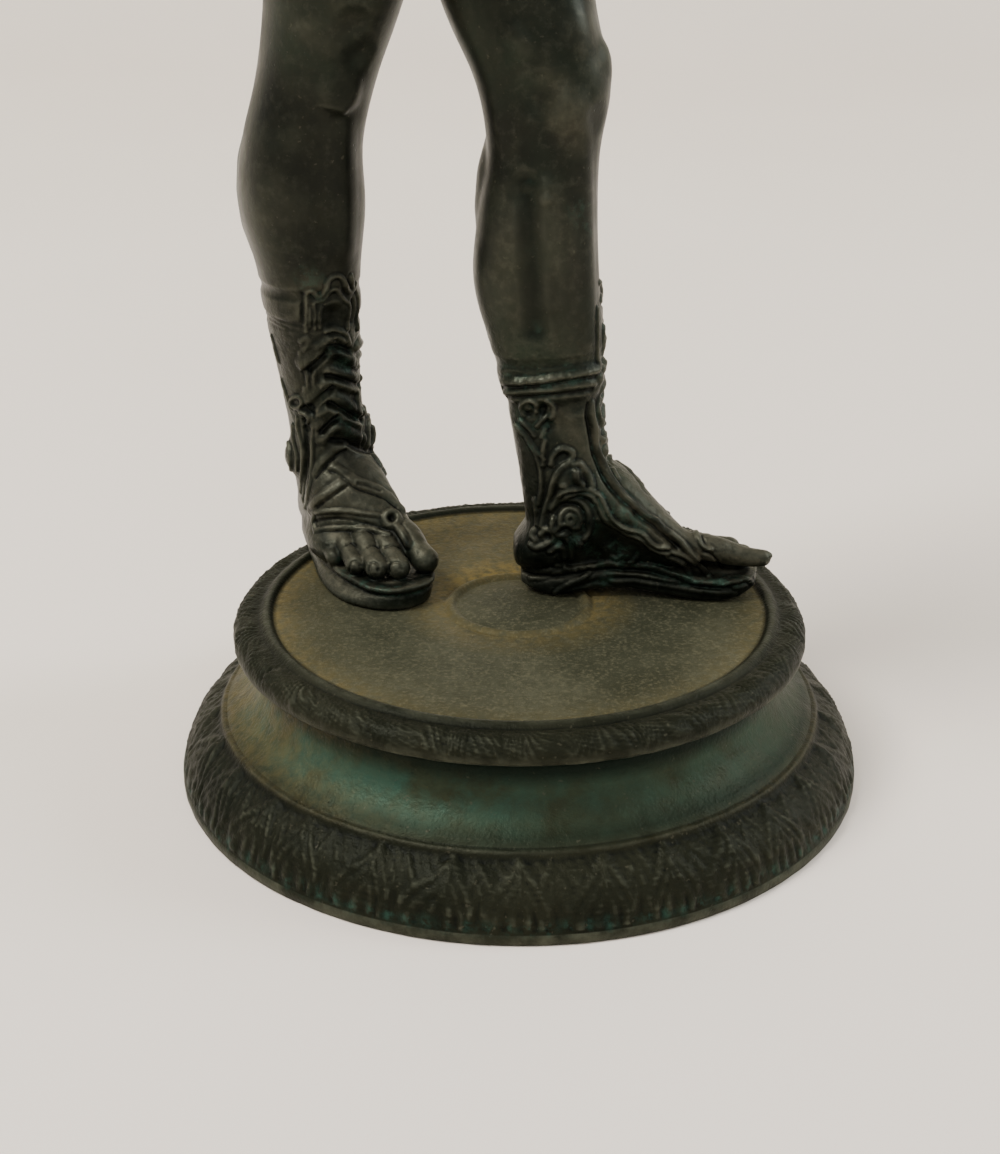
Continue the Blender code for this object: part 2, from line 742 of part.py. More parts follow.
def make_figure(group, cutters, material):
    figure = object_from("figure", mesh_of(body), group)
    fused(figure, BODY_SOFTENING_COUNT)
    both = bmesh.new()
    both.from_mesh(figure.data)
    both.from_mesh(mesh_of(details))
    both.to_mesh(figure.data)
    both.free()
    fused(figure, DETAIL_SOFTENING_COUNT)
    keep_largest_body(figure.data)
    thin = figure.modifiers.new("thin", "DECIMATE")
    figure.data.calc_loop_triangles()
    thin.ratio = FIGURE_TRIANGLES / len(figure.data.loop_triangles)
    applied(figure)
    seat_soles(figure.data)
    figure.data.transform(
        Matrix.Translation((0.0, 0.0, DISC_HEIGHT)) @ Matrix.Scale(BODY_UNIT, 4)
    )
    clear_bead(figure, cutters)
    figure.data.materials.clear()
    figure.data.materials.append(material)
    figure.data.shade_smooth()
    return figure


def seat_soles(mesh):
    """Cuts both soles flat, a hair above the disc."""
    bm = bmesh.new()
    bm.from_mesh(mesh)
    cut = bmesh.ops.bisect_plane(
        bm,
        geom=bm.verts[:] + bm.edges[:] + bm.faces[:],
        plane_co=(0.0, 0.0, SOLE_GAP / BODY_UNIT),
        plane_no=(0.0, 0.0, -1.0),
        clear_outer=True,
    )
    rim = [item for item in cut["geom_cut"] if isinstance(item, bmesh.types.BMEdge)]
    bmesh.ops.edgeloop_fill(bm, edges=rim)
    bmesh.ops.triangulate(bm, faces=bm.faces[:])
    bm.to_mesh(mesh)
    bm.free()


def clear_bead(figure, cutters):
    """The soles reach over the disc's bead, so a ring of its shape and a hair more is cut from them."""
    clearance = 1.5 * SOLE_GAP
    inner = DISC_RADIUS - clearance
    outer = DISC_RADIUS + BEAD_WIDTH + clearance
    profile = [
        (inner, -BEAD_RISE),
        (inner, BEAD_RISE + clearance),
        (outer, BEAD_RISE + clearance),
        (outer, -BEAD_RISE),
        (inner, -BEAD_RISE),
    ]
    lifted = [(r, z + DISC_HEIGHT) for r, z in profile]
    cutter = turned("bead_cutter", lifted, cutters)
    cutter.hide_render = True
    cutter.display_type = "WIRE"
    cut = figure.modifiers.new("clear_bead", "BOOLEAN")
    cut.operation = "DIFFERENCE"
    cut.object = cutter
    applied(figure)
    keep_largest_body(figure.data)


# The plinth


def turned(name, profile, group):
    """A profile of radius and height, spun about Z."""
    mesh = bpy.data.meshes.new(name)
    mesh.from_pydata(
        [(r, 0.0, z) for r, z in profile],
        [(i, i + 1) for i in range(len(profile) - 1)],
        [],
    )
    thing = object_from(name, mesh, group)
    spin = thing.modifiers.new("turn", "SCREW")
    spin.steps = PLINTH_SIDES
    spin.render_steps = PLINTH_SIDES
    spin.use_merge_vertices = True
    spin.merge_threshold = 0.05 * MM
    applied(thing)
    bm = bmesh.new()
    bm.from_mesh(thing.data)
    bmesh.ops.recalc_face_normals(bm, faces=bm.faces[:])
    bm.to_mesh(thing.data)
    bm.free()
    return thing


def arc(start, end, bulge, count):
    """Points after start up to end, on a bow that stands out by bulge."""
    a, b = Vector(start), Vector(end)
    chord = b - a
    normal = Vector((-chord.y, chord.x)).normalized()
    points = []
    for i in range(1, count + 1):
        t = i / count
        points.append(tuple(a + chord * t + normal * bulge * math.sin(math.pi * t)))
    return points


def plinth_profile():
    """From the disc's centre outwards, down the mouldings and back under the foot."""
    band_top = PLINTH_EDGE_HEIGHT + LOWER_BAND_HEIGHT
    cove_top = band_top + COVE_HEIGHT
    bead_end = DISC_RADIUS + BEAD_WIDTH
    profile = [(0.0, DISC_HEIGHT), (DISC_RADIUS, DISC_HEIGHT)]
    profile += arc(profile[-1], (bead_end, DISC_HEIGHT), BEAD_RISE, 4)
    rim_edge = (RIM_RADIUS, DISC_HEIGHT - 0.52 * RIM_HEIGHT)
    profile += arc(profile[-1], rim_edge, 1.3 * MM, 4)
    profile += [(RIM_RADIUS - 1.2 * MM, cove_top + 0.22 * RIM_HEIGHT), (WAIST_RADIUS, cove_top)]
    fillet = LOWER_BAND_TOP_RADIUS
    profile += arc(profile[-1], (fillet - 1.2 * MM, band_top + 0.6 * MM), -1.8 * MM, 4)
    profile += [(fillet, band_top)]
    foot_top = (PLINTH_FOOT_RADIUS, PLINTH_EDGE_HEIGHT)
    profile += arc(profile[-1], foot_top, 1.9 * MM, 6)
    profile += [(PLINTH_FOOT_RADIUS, 0.0), (0.0, 0.0)]
    return profile


def leaf(around, share, count):
    """Overlapping pointed leaves with a midrib: 0 in the grooves between them, 1 on the rib."""
    place = (around / (2.0 * math.pi) * count) % 1.0
    away = abs(place - 0.5) * 2.0
    width = 1.0 - share**2
    return max(0.0, 1.0 - away / max(width, 0.05)) ** 0.5


def carve_leaves(mesh):
    band_top = PLINTH_EDGE_HEIGHT + LOWER_BAND_HEIGHT
    rim_low = DISC_HEIGHT - 0.52 * RIM_HEIGHT
    bead_end = DISC_RADIUS + BEAD_WIDTH
    for vert in mesh.vertices:
        flat = Vector((vert.co.x, vert.co.y))
        radius = flat.length
        around = math.atan2(flat.y, flat.x)
        height = vert.co.z
        outward = vert.normal
        on_band = PLINTH_EDGE_HEIGHT < height < band_top - 0.1 * MM
        on_rim = rim_low <= height < DISC_HEIGHT - 0.1 * MM
        if on_band and radius > LOWER_BAND_TOP_RADIUS:
            share = (height - PLINTH_EDGE_HEIGHT) / LOWER_BAND_HEIGHT
            vert.co += outward * LEAF_DEPTH * (leaf(around, share, LEAF_COUNT) - 0.5)
        elif on_rim and radius > bead_end + 0.3 * MM:
            share = 0.3
            vert.co += outward * RIM_LEAF_DEPTH * (leaf(around, share, LEAF_COUNT) - 0.5)


def make_plinth(group, material):
    plinth = turned("plinth", plinth_profile(), group)
    carve_leaves(plinth.data)
    plinth.data.materials.append(material)
    plinth.data.shade_smooth()
    plinth.data.set_sharp_from_angle(angle=math.radians(35.0))
    return plinth


def main():
    clear_scene()
    group = collection("bronze_youth")
    cutters = collection("cutters")
    make_plinth(group, bronze("plinth_bronze", (0.058, 0.06, 0.038), 0.55))
    make_figure(group, cutters, bronze("figure_bronze", (0.03, 0.033, 0.024), 0.48))


main()
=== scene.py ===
# %% [markdown]
# # A bronze youth on a leafy plinth
#
# The real object is a cast bronze statuette, about 36 cm tall. A young man in open-toed laced
# boots stands on a turned round plinth with two bands of leaves. The metal is dark, soft in its
# gloss, dusty on the flat disc and green where water has stood.
#
# The CAD model already holds the size, the pose and the large forms. This file keeps that frame
# and models the same forms again with finer clay, then carves the relief and mixes the finishes.

import math

import bmesh
import bpy
import numpy as np
from mathutils import Matrix, Vector, noise
from mathutils.bvhtree import BVHTree


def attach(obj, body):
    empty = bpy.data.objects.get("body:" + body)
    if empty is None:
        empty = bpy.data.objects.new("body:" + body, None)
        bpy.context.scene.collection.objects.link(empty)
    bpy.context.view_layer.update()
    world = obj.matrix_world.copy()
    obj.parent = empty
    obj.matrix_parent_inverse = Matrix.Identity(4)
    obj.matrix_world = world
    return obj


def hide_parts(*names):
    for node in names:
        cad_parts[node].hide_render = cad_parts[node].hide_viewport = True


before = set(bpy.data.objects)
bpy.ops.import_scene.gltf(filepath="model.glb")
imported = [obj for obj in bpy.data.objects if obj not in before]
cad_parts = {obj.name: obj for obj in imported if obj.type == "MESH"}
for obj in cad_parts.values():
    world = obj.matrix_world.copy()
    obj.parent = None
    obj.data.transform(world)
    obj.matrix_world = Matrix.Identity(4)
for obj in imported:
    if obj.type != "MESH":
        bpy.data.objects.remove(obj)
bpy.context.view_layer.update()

# %% [markdown]
# ## The camera
#
# The photo looks down on the plinth by about 24 degrees from a third of a metre away. The same
# camera is used in two ways: it frames the picture, and it carries the ornament. A place in the
# photo becomes a ray, and where the ray meets the clay a line can be carved.

# %% Camera
PHOTO_SIZE = (1000, 1154)
PHOTO_CENTRE = (500.0, 577.0)
FOCAL_PIXELS = 1800.0
CAMERA_PITCH = 24.3
CAMERA_YAW = 0.67
CAMERA_DISTANCE = 321.6
CAMERA_HEIGHT = 151.0
SENSOR = 36.0
MM = 0.001
DISC_HEIGHT = 33.0


def make_camera():
    data = bpy.data.cameras.new("photo_camera")
    data.sensor_fit = "HORIZONTAL"
    data.sensor_width = SENSOR
    data.lens = SENSOR * FOCAL_PIXELS / PHOTO_SIZE[0]
    camera = bpy.data.objects.new("photo_camera", data)
    bpy.context.scene.collection.objects.link(camera)
    camera.location = (0.0, -CAMERA_DISTANCE * MM, (CAMERA_HEIGHT + DISC_HEIGHT) * MM)
    camera.rotation_euler = (math.radians(90 - CAMERA_PITCH), 0.0, math.radians(CAMERA_YAW))
    bpy.context.scene.camera = camera
    return camera


EYE = Vector((0.0, -CAMERA_DISTANCE, CAMERA_HEIGHT))


def eye_ray(spot):
    """The direction from the camera through a place in the photo."""
    yaw = Matrix.Rotation(math.radians(CAMERA_YAW), 3, "Z")
    pitch = Matrix.Rotation(math.radians(90 - CAMERA_PITCH), 3, "X")
    x = (spot[0] - PHOTO_CENTRE[0]) / FOCAL_PIXELS
    y = (PHOTO_CENTRE[1] - spot[1]) / FOCAL_PIXELS
    return (yaw @ pitch @ Vector((x, y, -1.0))).normalized()


camera = make_camera()
print("lens", round(camera.data.lens, 1), "mm at", tuple(round(v, 3) for v in camera.location))

# %% [markdown]
# ## Clay
#
# A cast figure has no seams, so it is modelled as a sculptor works: simple closed shapes are
# pushed into each other and then fused into one skin. Blender's voxel remesh does the fusing, and
# a few rounds of smoothing blend the joins. The shapes are rings bridged into limbs and soles,
# and eggs for muscles. Everything is in millimetres above the disc that the figure stands on,
# until a finished piece is placed.

# %% Directions and curves
UP = Vector((0.0, 0.0, 1.0))


def facing(turn):
    """The level direction that a part looks in, turned from -Y towards +X."""
    return Vector((math.sin(math.radians(turn)), -math.cos(math.radians(turn)), 0.0))


def leftward(turn):
    """The figure's own left when it faces that way."""
    return Vector((math.cos(math.radians(turn)), math.sin(math.radians(turn)), 0.0))


def smooth_rows(rows, steps):
    """Rows read from a smooth curve that passes through the given rows."""
    given = np.array(rows, float)
    padded = np.vstack([2 * given[0] - given[1], given, 2 * given[-1] - given[-2]])
    result = []
    for i in range(1, len(padded) - 2):
        before, start, end, after = padded[i - 1 : i + 3]
        for t in np.arange(steps) / steps:
            bend = 2 * before - 5 * start + 4 * end - after
            last = 3 * start - before - 3 * end + after
            result.append(0.5 * (2 * start + (end - before) * t + bend * t**2 + last * t**3))
    result.append(given[-1])
    return np.array(result)


# %% Rings, limbs and eggs
def ring(bm, centre, side, front, squareness, segments):
    """One section: side and front are its half axes as vectors."""
    made = bmesh.ops.create_circle(bm, cap_ends=False, radius=1.0, segments=segments)
    for vert in made["verts"]:
        x, y = vert.co.x, vert.co.y
        reach = (abs(x) ** squareness + abs(y) ** squareness) ** (-1.0 / squareness)
        vert.co = centre + side * (x * reach) + front * (y * reach)
    return list({edge for vert in made["verts"] for edge in vert.link_edges})


def loft(bm, rings):
    """Bridges rings in turn and closes both ends."""
    for lower, upper in zip(rings, rings[1:]):
        bmesh.ops.bridge_loops(bm, edges=lower + upper)
    for end in (rings[0], rings[-1]):
        bmesh.ops.edgeloop_fill(bm, edges=end)


def trunk(bm, stations, squareness=2.3, segments=36, steps=4):
    """Level sections of the body: height, centre x and y, turn, half width and half depth."""
    rings = []
    for z, x, y, turn, width, depth in smooth_rows(stations, steps):
        side, front = leftward(turn) * width, facing(turn) * depth
        rings.append(ring(bm, Vector((x, y, z)), side, front, squareness, segments))
    loft(bm, rings)


def sausage(bm, stations, front=None, segments=16, steps=4):
    """A limb along a path: x, y, z, half width and half depth, with round ends."""
    rows = smooth_rows(stations, steps)
    rings = []
    for i, row in enumerate(rows):
        ahead = Vector(rows[min(i + 1, len(rows) - 1)][:3])
        along = (ahead - Vector(rows[max(i - 1, 0)][:3])).normalized()
        guide = Vector(front) if front else Vector((0.0, -1.0, 0.0))
        if abs(guide.dot(along)) > 0.95:
            guide = UP
        side = along.cross(guide).normalized()
        deep = side.cross(along).normalized()
        rings.append(ring(bm, Vector(row[:3]), side * row[3], deep * row[4], 2.0, segments))
    loft(bm, rings)
    for row in (rows[0], rows[-1]):
        ball(bm, row[:3], [min(row[3], row[4])] * 3)


def ball(bm, centre, radii, turn=0.0, tilt=0.0, segments=16):
    """An egg: half axes to its left, to its front and upwards, turned about Z, nodding by tilt."""
    place = (
        Matrix.Translation(Vector(centre))
        @ Matrix.Rotation(math.radians(turn), 4, "Z")
        @ Matrix.Rotation(math.radians(tilt), 4, "X")
        @ Matrix.Diagonal((*radii, 1.0))
    )
    bmesh.ops.create_uvsphere(
        bm, u_segments=segments, v_segments=segments // 2, radius=1.0, matrix=place
    )


# %% Fusing
def clay(*fills, onto=None):
    """A mesh of closed shapes from functions that fill a bmesh."""
    bm = bmesh.new()
    if onto:
        bm.from_mesh(onto)
    for fill in fills:
        fill(bm)
    bmesh.ops.recalc_face_normals(bm, faces=bm.faces[:])
    mesh = bpy.data.meshes.new("clay")
    bm.to_mesh(mesh)
    bm.free()
    return mesh


def with_modifiers(mesh, *steps):
    """The mesh after modifiers, each given as its type and its settings."""
    holder = bpy.data.objects.new("holder", mesh)
    bpy.context.scene.collection.objects.link(holder)
    for kind, settings in steps:
        modifier = holder.modifiers.new(kind.lower(), kind)
        for key, value in settings.items():
            setattr(modifier, key, value)
    depsgraph = bpy.context.evaluated_depsgraph_get()
    depsgraph.update()
    result = bpy.data.meshes.new_from_object(holder.evaluated_get(depsgraph))
    bpy.data.objects.remove(holder)
    return result


def fused(mesh, voxel, softening):
    """One skin round all the clay, softened a little."""
    return with_modifiers(
        mesh,
        ("REMESH", {"mode": "VOXEL", "voxel_size": voxel}),
        ("SMOOTH", {"factor": 0.5, "iterations": softening}),
    )


def thinned(mesh, triangles):
    """The mesh with fewer triangles, taken where it is flattest."""
    mesh.calc_loop_triangles()
    ratio = min(1.0, triangles / len(mesh.loop_triangles))
    return with_modifiers(mesh, ("DECIMATE", {"ratio": ratio, "use_collapse_triangulate": True}))


class Axis:
    """The line up the middle of a table of sections, and directions about it."""

    def __init__(self, sections):
        self.table = np.array(sections, float)

    def at(self, height):
        x, y, turn = (np.interp(height, self.table[:, 0], self.table[:, i]) for i in (1, 2, 3))
        return Vector((float(x), float(y), height)), float(turn)

    def point(self, height, left, front, frame_height=None):
        centre, turn = self.at(frame_height or height)
        place = centre + leftward(turn) * left + facing(turn) * front
        place.z = height
        return place


def forms(bm, axis, rows):
    """Muscles and bones: height, left and front of the axis, half axes."""
    for height, left, front, radii in rows:
        ball(bm, axis.point(height, left, front), radii, axis.at(height)[1])


# %% [markdown]
# ## Carving
#
# Fine ornament is too small for clay shapes, so it is carved: every corner of the mesh near a
# line moves in or out along its normal. A line can be a raised cord with a channel beside it, or
# a cut. A soft press makes a muscle swell or sink. Lines from the photo are cast through the
# camera, and lines on hidden sides are laid on the nearest skin.

# %% The carver
# Below this height the skin is worn leather and straps, above it smooth flesh
BOOT_TOP = 62.0
BOOT_FADE = 12.0


def corners(mesh, what):
    """The places or the normals of a mesh's corners, one row each."""
    rows = np.empty(len(mesh.vertices) * 3)
    mesh.vertices.foreach_get(what, rows)
    return rows.reshape(-1, 3)


class Skin:
    """A mesh's corners as arrays, to be carved and pressed."""

    def __init__(self, mesh):
        self.mesh = mesh
        self.points = corners(mesh, "co")
        self.normals = corners(mesh, "normal")
        self.ridge = np.zeros(len(self.points))
        self.groove = np.zeros(len(self.points))
        shape = bmesh.new()
        shape.from_mesh(mesh)
        self.tree = BVHTree.FromBMesh(shape)
        shape.free()

    def near(self, path, reach):
        """The corners within reach of a path, and how far each is from it."""
        if len(path) == 0:
            return np.empty(0, int), np.empty(0)
        path = np.asarray(path, float)
        low, high = path.min(axis=0) - reach, path.max(axis=0) + reach
        inside = np.all((self.points > low) & (self.points < high), axis=1)
        chosen = np.flatnonzero(inside)
        best = np.full(len(chosen), 1e9)
        spots = self.points[chosen]
        for a, b in zip(path, path[1:] if len(path) > 1 else path):
            step = b - a
            length = max(float(step @ step), 1e-9)
            t = np.clip((spots - a) @ step / length, 0.0, 1.0)
            gap = spots - a - t[:, None] * step
            best = np.minimum(best, np.einsum("ij,ij->i", gap, gap))
        best = np.sqrt(best)
        close = best < reach
        return chosen[close], best[close]

    def raise_line(self, path, half_width, rise, channel=0.0):
        """A rounded cord along a path, with a channel down each side of it."""
        spots, gap = self.near(path, half_width * 2.0)
        share = gap / half_width
        height = rise * np.clip(1.0 - (share / 1.25) ** 2, 0.0, 1.0) ** 1.3
        self.ridge[spots] = np.maximum(self.ridge[spots], height)
        side = np.clip(1.0 - ((share - 1.3) / 0.6) ** 2, 0.0, 1.0)
        self.groove[spots] = np.minimum(self.groove[spots], -channel * side)

    def cut_line(self, path, half_width, depth):
        """A rounded groove along a path."""
        spots, gap = self.near(path, half_width)
        share = gap / half_width
        self.groove[spots] = np.minimum(self.groove[spots], -depth * (1.0 - share**2) ** 1.2)

    def press(self, centre, radius, rise):
        """A soft bump, or a dent where rise is negative."""
        self.stroke([centre], radius, rise)

    def stroke(self, path, radius, rise):
        """A soft ridge along a path, or a hollow where rise is negative."""
        spots, gap = self.near(path, radius)
        soft = (1.0 - (gap / radius) ** 2) ** 2
        self.points[spots] += self.normals[spots] * (rise * soft)[:, None]

    def cast(self, spots, steps=6):
        """A smooth line through places in the photo, laid on the skin."""
        path = []
        for spot in smooth_rows(spots, steps) if len(spots) > 1 else spots:
            hit = self.tree.ray_cast(EYE, eye_ray(spot))[0]
            if hit is not None:
                path.append(hit)
        return np.array(path)

    def set_back(self, unevenness=0.0, roughness=0.0):
        """Writes the carved corners back to the mesh, with lines of uneven height."""
        height = self.ridge + self.groove
        if unevenness:
            waver = np.array([noise.noise(spot) for spot in self.points / 3.0])
            grain = np.array([noise.noise(spot) for spot in self.points / 1.1])
            worn = roughness * np.clip((BOOT_TOP - self.points[:, 2]) / BOOT_FADE, 0.12, 1.0)
            height = height * (1.0 + unevenness * waver) + worn * (waver + grain)
        carved = self.points + self.normals * height[:, None]
        self.mesh.vertices.foreach_set("co", carved.ravel())
        self.mesh.update()
        return self.mesh


# %% [markdown]
# ## The plinth
#
# The real plinth was turned, then cast with two bands of leaves. A few vertices give its profile
# from the middle of the disc outwards, and one full spin makes the round body. The leaves are
# then chased in code: each corner on a band knows how far round and how far up the band it is,
# and the drawing of one leaf says how high it stands there. Small random changes from leaf to
# leaf keep the band from looking stamped.

# %% Profile of the plinth
PLINTH_STEPS = 1000
RING_RADII = (12.4, 14.4)
RING_RISE = 0.62
BEAD_IN, BEAD_OUT = 48.0, 51.0
RIM_EDGE = (56.2, -3.1)
BAND_TOP = (59.6, -20.1)
BAND_FOOT = (67.6, -30.6)
PLAIN_EDGE_LOW = -33.0


def bow(start, end, bulge, count):
    """Points after start up to end, on a bow that stands out by bulge."""
    a, b = Vector(start), Vector(end)
    chord = b - a
    normal = Vector((-chord.y, chord.x)).normalized()
    points = []
    for i in range(1, count + 1):
        t = i / count
        points.append(tuple(a + chord * t + normal * bulge * math.sin(math.pi * t)))
    return points


def plinth_profile():
    inner, outer = RING_RADII
    rows = [(0.0, 0.0), (6.0, 0.0), (inner - 0.9, 0.0), (inner - 0.4, -0.3), (inner, 0.0)]
    rows += bow(rows[-1], (outer, 0.0), RING_RISE, 5)
    rows += [(outer + 0.4, -0.3), (outer + 0.9, 0.0), (24.0, 0.0), (34.0, 0.0), (42.0, 0.0)]
    rows += [(46.4, 0.0), (47.4, -0.02), (BEAD_IN, -0.12)]
    rows += bow(rows[-1], (BEAD_OUT, 0.0), 0.95, 7)
    rows += [(BEAD_OUT + 0.25, 0.02)]
    rows += bow(rows[-1], RIM_EDGE, 1.3, 16)
    rows += bow(rows[-1], (55.0, -4.7), 0.5, 4)
    rows += bow(rows[-1], (50.6, -7.4), -0.5, 4)
    rows += bow(rows[-1], (58.2, -19.0), -1.9, 10)
    rows += [(58.3, -19.25)]
    rows += bow(rows[-1], (59.5, -19.9), 0.3, 3)
    rows += [BAND_TOP]
    rows += bow(rows[-1], (BAND_FOOT[0] - 0.3, BAND_FOOT[1]), 1.8, 26)
    rows += [(BAND_FOOT[0] - 0.25, BAND_FOOT[1] - 0.2), (BAND_FOOT[0], BAND_FOOT[1] - 0.45)]
    rows += [(BAND_FOOT[0] + 0.02, -31.8), (BAND_FOOT[0] + 0.02, PLAIN_EDGE_LOW + 0.35)]
    rows += [(BAND_FOOT[0] - 0.3, PLAIN_EDGE_LOW), (40.0, PLAIN_EDGE_LOW), (0.0, PLAIN_EDGE_LOW)]
    return rows


def spun(profile, steps):
    """A profile of radius and height turned once round Z, closed at its poles."""
    bm = bmesh.new()
    verts = [bm.verts.new((r, 0.0, z)) for r, z in profile]
    edges = [bm.edges.new(pair) for pair in zip(verts, verts[1:])]
    bmesh.ops.spin(
        bm, geom=verts + edges, cent=(0, 0, 0), axis=(0, 0, 1),
        angle=2 * math.pi, steps=steps, use_merge=True,
    )
    bmesh.ops.remove_doubles(bm, verts=bm.verts[:], dist=0.002)
    bmesh.ops.recalc_face_normals(bm, faces=bm.faces[:])
    mesh = bpy.data.meshes.new("spun")
    bm.to_mesh(mesh)
    bm.free()
    return mesh


# %% The drawing of the leaves
LEAF_COUNT = 30
LEAF_HEIGHT = 12.8
LEAF_RADIUS = 63.5
RIM_LEAF_COUNT = 27
RIM_LEAF_HEIGHT = 8.2
RIM_LEAF_RADIUS = 54.5
chance = np.random.default_rng(7)


def gap_to(curve, u, v):
    """How far places (u, v) are from a curve, in millimetres."""
    best = np.full(u.shape, 1e9)
    for (ax, ay), (bx, by) in zip(curve, curve[1:]):
        dx, dy = bx - ax, by - ay
        t = np.clip(((u - ax) * dx + (v - ay) * dy) / (dx * dx + dy * dy + 1e-9), 0.0, 1.0)
        best = np.minimum(best, np.hypot(u - ax - t * dx, v - ay - t * dy))
    return best


def cord_height(gap, half_width):
    return np.clip(1.0 - (gap / half_width) ** 2, 0.0, 1.0) ** 0.8


def waver(around, seed, waves=(3, 7, 13, 29)):
    """A slow wobble round the plinth, from -1 to 1."""
    phases = np.random.default_rng(seed).uniform(0.0, 2.0 * math.pi, len(waves))
    total = sum(np.sin(around * wave + phase) for wave, phase in zip(waves, phases))
    return total / len(waves)


def lower_leaves(around, share):
    """Height of the big leaves, from share 0 at the plain edge to share 1 at the fillet."""
    tall = LEAF_HEIGHT
    wide = 2.0 * math.pi * LEAF_RADIUS / LEAF_COUNT
    place = around / (2.0 * math.pi) * LEAF_COUNT + 0.14 * waver(around, 9, (5, 17, 31))
    number = np.floor(place).astype(int) % LEAF_COUNT
    lean = chance.uniform(-1.6, 1.6, LEAF_COUNT)[number]
    spread = chance.uniform(0.9, 1.12, LEAF_COUNT)[number]
    u = (place - np.floor(place) - 0.5) * wide
    v = share * tall + 0.5 * waver(around, 3) + 0.35 * waver(around, 4, (37, 61, 83))
    u = (u + lean * np.clip(v / tall, 0.0, 1.0)) * spread
    mirrored = np.abs(u)
    side = np.sign(u)
    half = 0.5 * wide * np.sqrt(np.clip(1.0 - v / tall, 0.01, 1.0))
    body = np.clip(1.0 - mirrored / half, 0, 1)
    height = 0.4 * body**0.5
    outline = [(0.2, 12.4), (0.9, 10.8), (2.4, 8.8), (4.2, 6.6), (5.3, 4.2), (5.7, 1.8), (5.8, 0.2)]
    inner = [(0.2, 9.8), (0.9, 8.0), (2.2, 6.0), (3.5, 3.8), (4.0, 1.8), (4.1, 0.2)]
    heart = [(0.1, 6.4), (1.1, 4.4), (2.1, 2.2), (2.5, 0.2)]
    crossing = [(6.4, 11.9), (5.2, 9.4), (4.6, 7.6)]
    between = [(6.5, 9.2), (6.0, 6.4), (5.6, 3.6)]
    lines = [(outline, 0.46, 0.75), (inner, 0.38, 0.68), (heart, 0.24, 0.6)]
    lines += [(crossing, 0.38, 0.6), (between, 0.26, 0.55)]
    for i, (line, rise, half_width) in enumerate(lines):
        fade = 0.6 + 0.4 * waver(around + 0.3 * side, 40 + i, (7, 19, 29, 43))
        height += rise * fade * cord_height(gap_to(line, mirrored, v), half_width)
    height += 0.26 * cord_height(gap_to([(0.0, 11.0), (0.0, 7.0)], mirrored, v), 0.5)
    fan = u / (1.0 + 0.06 * v)
    feet = np.abs((fan / wide * 5.0) % 1.0 - 0.5) * wide / 5.0
    length = np.clip(v / 0.5, 0.0, 1.0) * np.clip((5.4 - v) / 3.4, 0.0, 1.0)
    height += 0.46 * cord_height(feet, 0.85) * length
    worn = 0.72 + 0.28 * waver(around + share * 2.0, 11, (5, 11, 17, 41))
    lumps = 0.16 * waver(around * 3.0 + share * 5.0, 13, (19, 37, 47, 71))
    return height * worn + lumps * np.clip(share * 1.3, 0.0, 1.0) - 0.42


def rim_leaves(around, share):
    """Height of the small leaves on the rim, from share 0 at the bead to share 1 at the lip."""
    tall = RIM_LEAF_HEIGHT
    wide = 2.0 * math.pi * RIM_LEAF_RADIUS / RIM_LEAF_COUNT
    place = around / (2.0 * math.pi) * RIM_LEAF_COUNT + 0.35 * waver(around, 5)
    number = np.floor(place).astype(int) % RIM_LEAF_COUNT
    lean = chance.uniform(-1.6, 1.6, RIM_LEAF_COUNT)[number]
    u = (place - np.floor(place) - 0.5) * wide + lean * share
    v = share * tall
    mirrored = np.abs(u)
    swing = 0.55 + 0.45 * np.clip(v / tall, 0.0, 1.0)
    ribs = 0.5 + 0.5 * np.cos(2.0 * math.pi * (mirrored - 0.22 * v) / (1.7 * swing))
    envelope = np.clip(np.sin(math.pi * np.clip(share * 0.98 + 0.04, 0, 1)), 0, 1) ** 0.5
    notch = cord_height(np.abs(mirrored - wide / 2.0), 0.8)
    fade = 0.55 + 0.45 * waver(around, 19, (11, 23, 37, 53))
    scallop = 7.0 + 0.5 * np.cos(4.0 * math.pi * u / wide) + 0.3 * waver(around, 6, (17, 31))
    lip = cord_height(np.abs(v - scallop), 1.1)
    lumps = waver(around * 2.0 + share * 4.0, 15, (23, 41, 67, 89))
    height = 0.34 * ribs * envelope * fade + 0.24 * lip * fade - 0.26 * notch * envelope * fade
    return height + 0.22 * lumps * envelope - 0.14


# %% Chase the leaves
def share_along(points, start, end):
    """How far each place of radius and height lies from start to end."""
    a, b = np.array(start), np.array(end)
    return ((points - a) @ (b - a)) / float((b - a) @ (b - a))


def chase_plinth(mesh):
    skin = Skin(mesh)
    x, y, z = skin.points.T
    radius = np.hypot(x, y)
    around = np.arctan2(y, x)
    flat = np.column_stack([radius, z])
    up = share_along(flat, BAND_FOOT, BAND_TOP)
    on_band = (z < BAND_TOP[1] - 0.05) & (z > BAND_FOOT[1] + 0.05) & (radius > BAND_TOP[0] - 0.2)
    fade = np.clip(np.minimum(up, 1.0 - up) / 0.05, 0.0, 1.0)
    skin.ridge[on_band] = (lower_leaves(around, up) * fade)[on_band]
    out = share_along(flat, (BEAD_OUT, 0.0), RIM_EDGE)
    on_rim = (radius > BEAD_OUT + 0.3) & (z > RIM_EDGE[1] - 1.0)
    fade = np.clip(np.minimum(out, 1.12 - out) / 0.08, 0.0, 1.0)
    skin.ridge[on_rim] = (rim_leaves(around, np.clip(out, 0.0, 1.0)) * fade)[on_rim]
    rough = 0.05 * (waver(around, 21, (9, 23, 43, 71)) + waver(z * 1.3 + around, 23, (11, 29, 53)))
    skin.ridge += np.where(radius > 49.0, rough, 0.0)
    skin.ridge[z < PLAIN_EDGE_LOW + 0.2] = 0.0
    return skin.set_back()


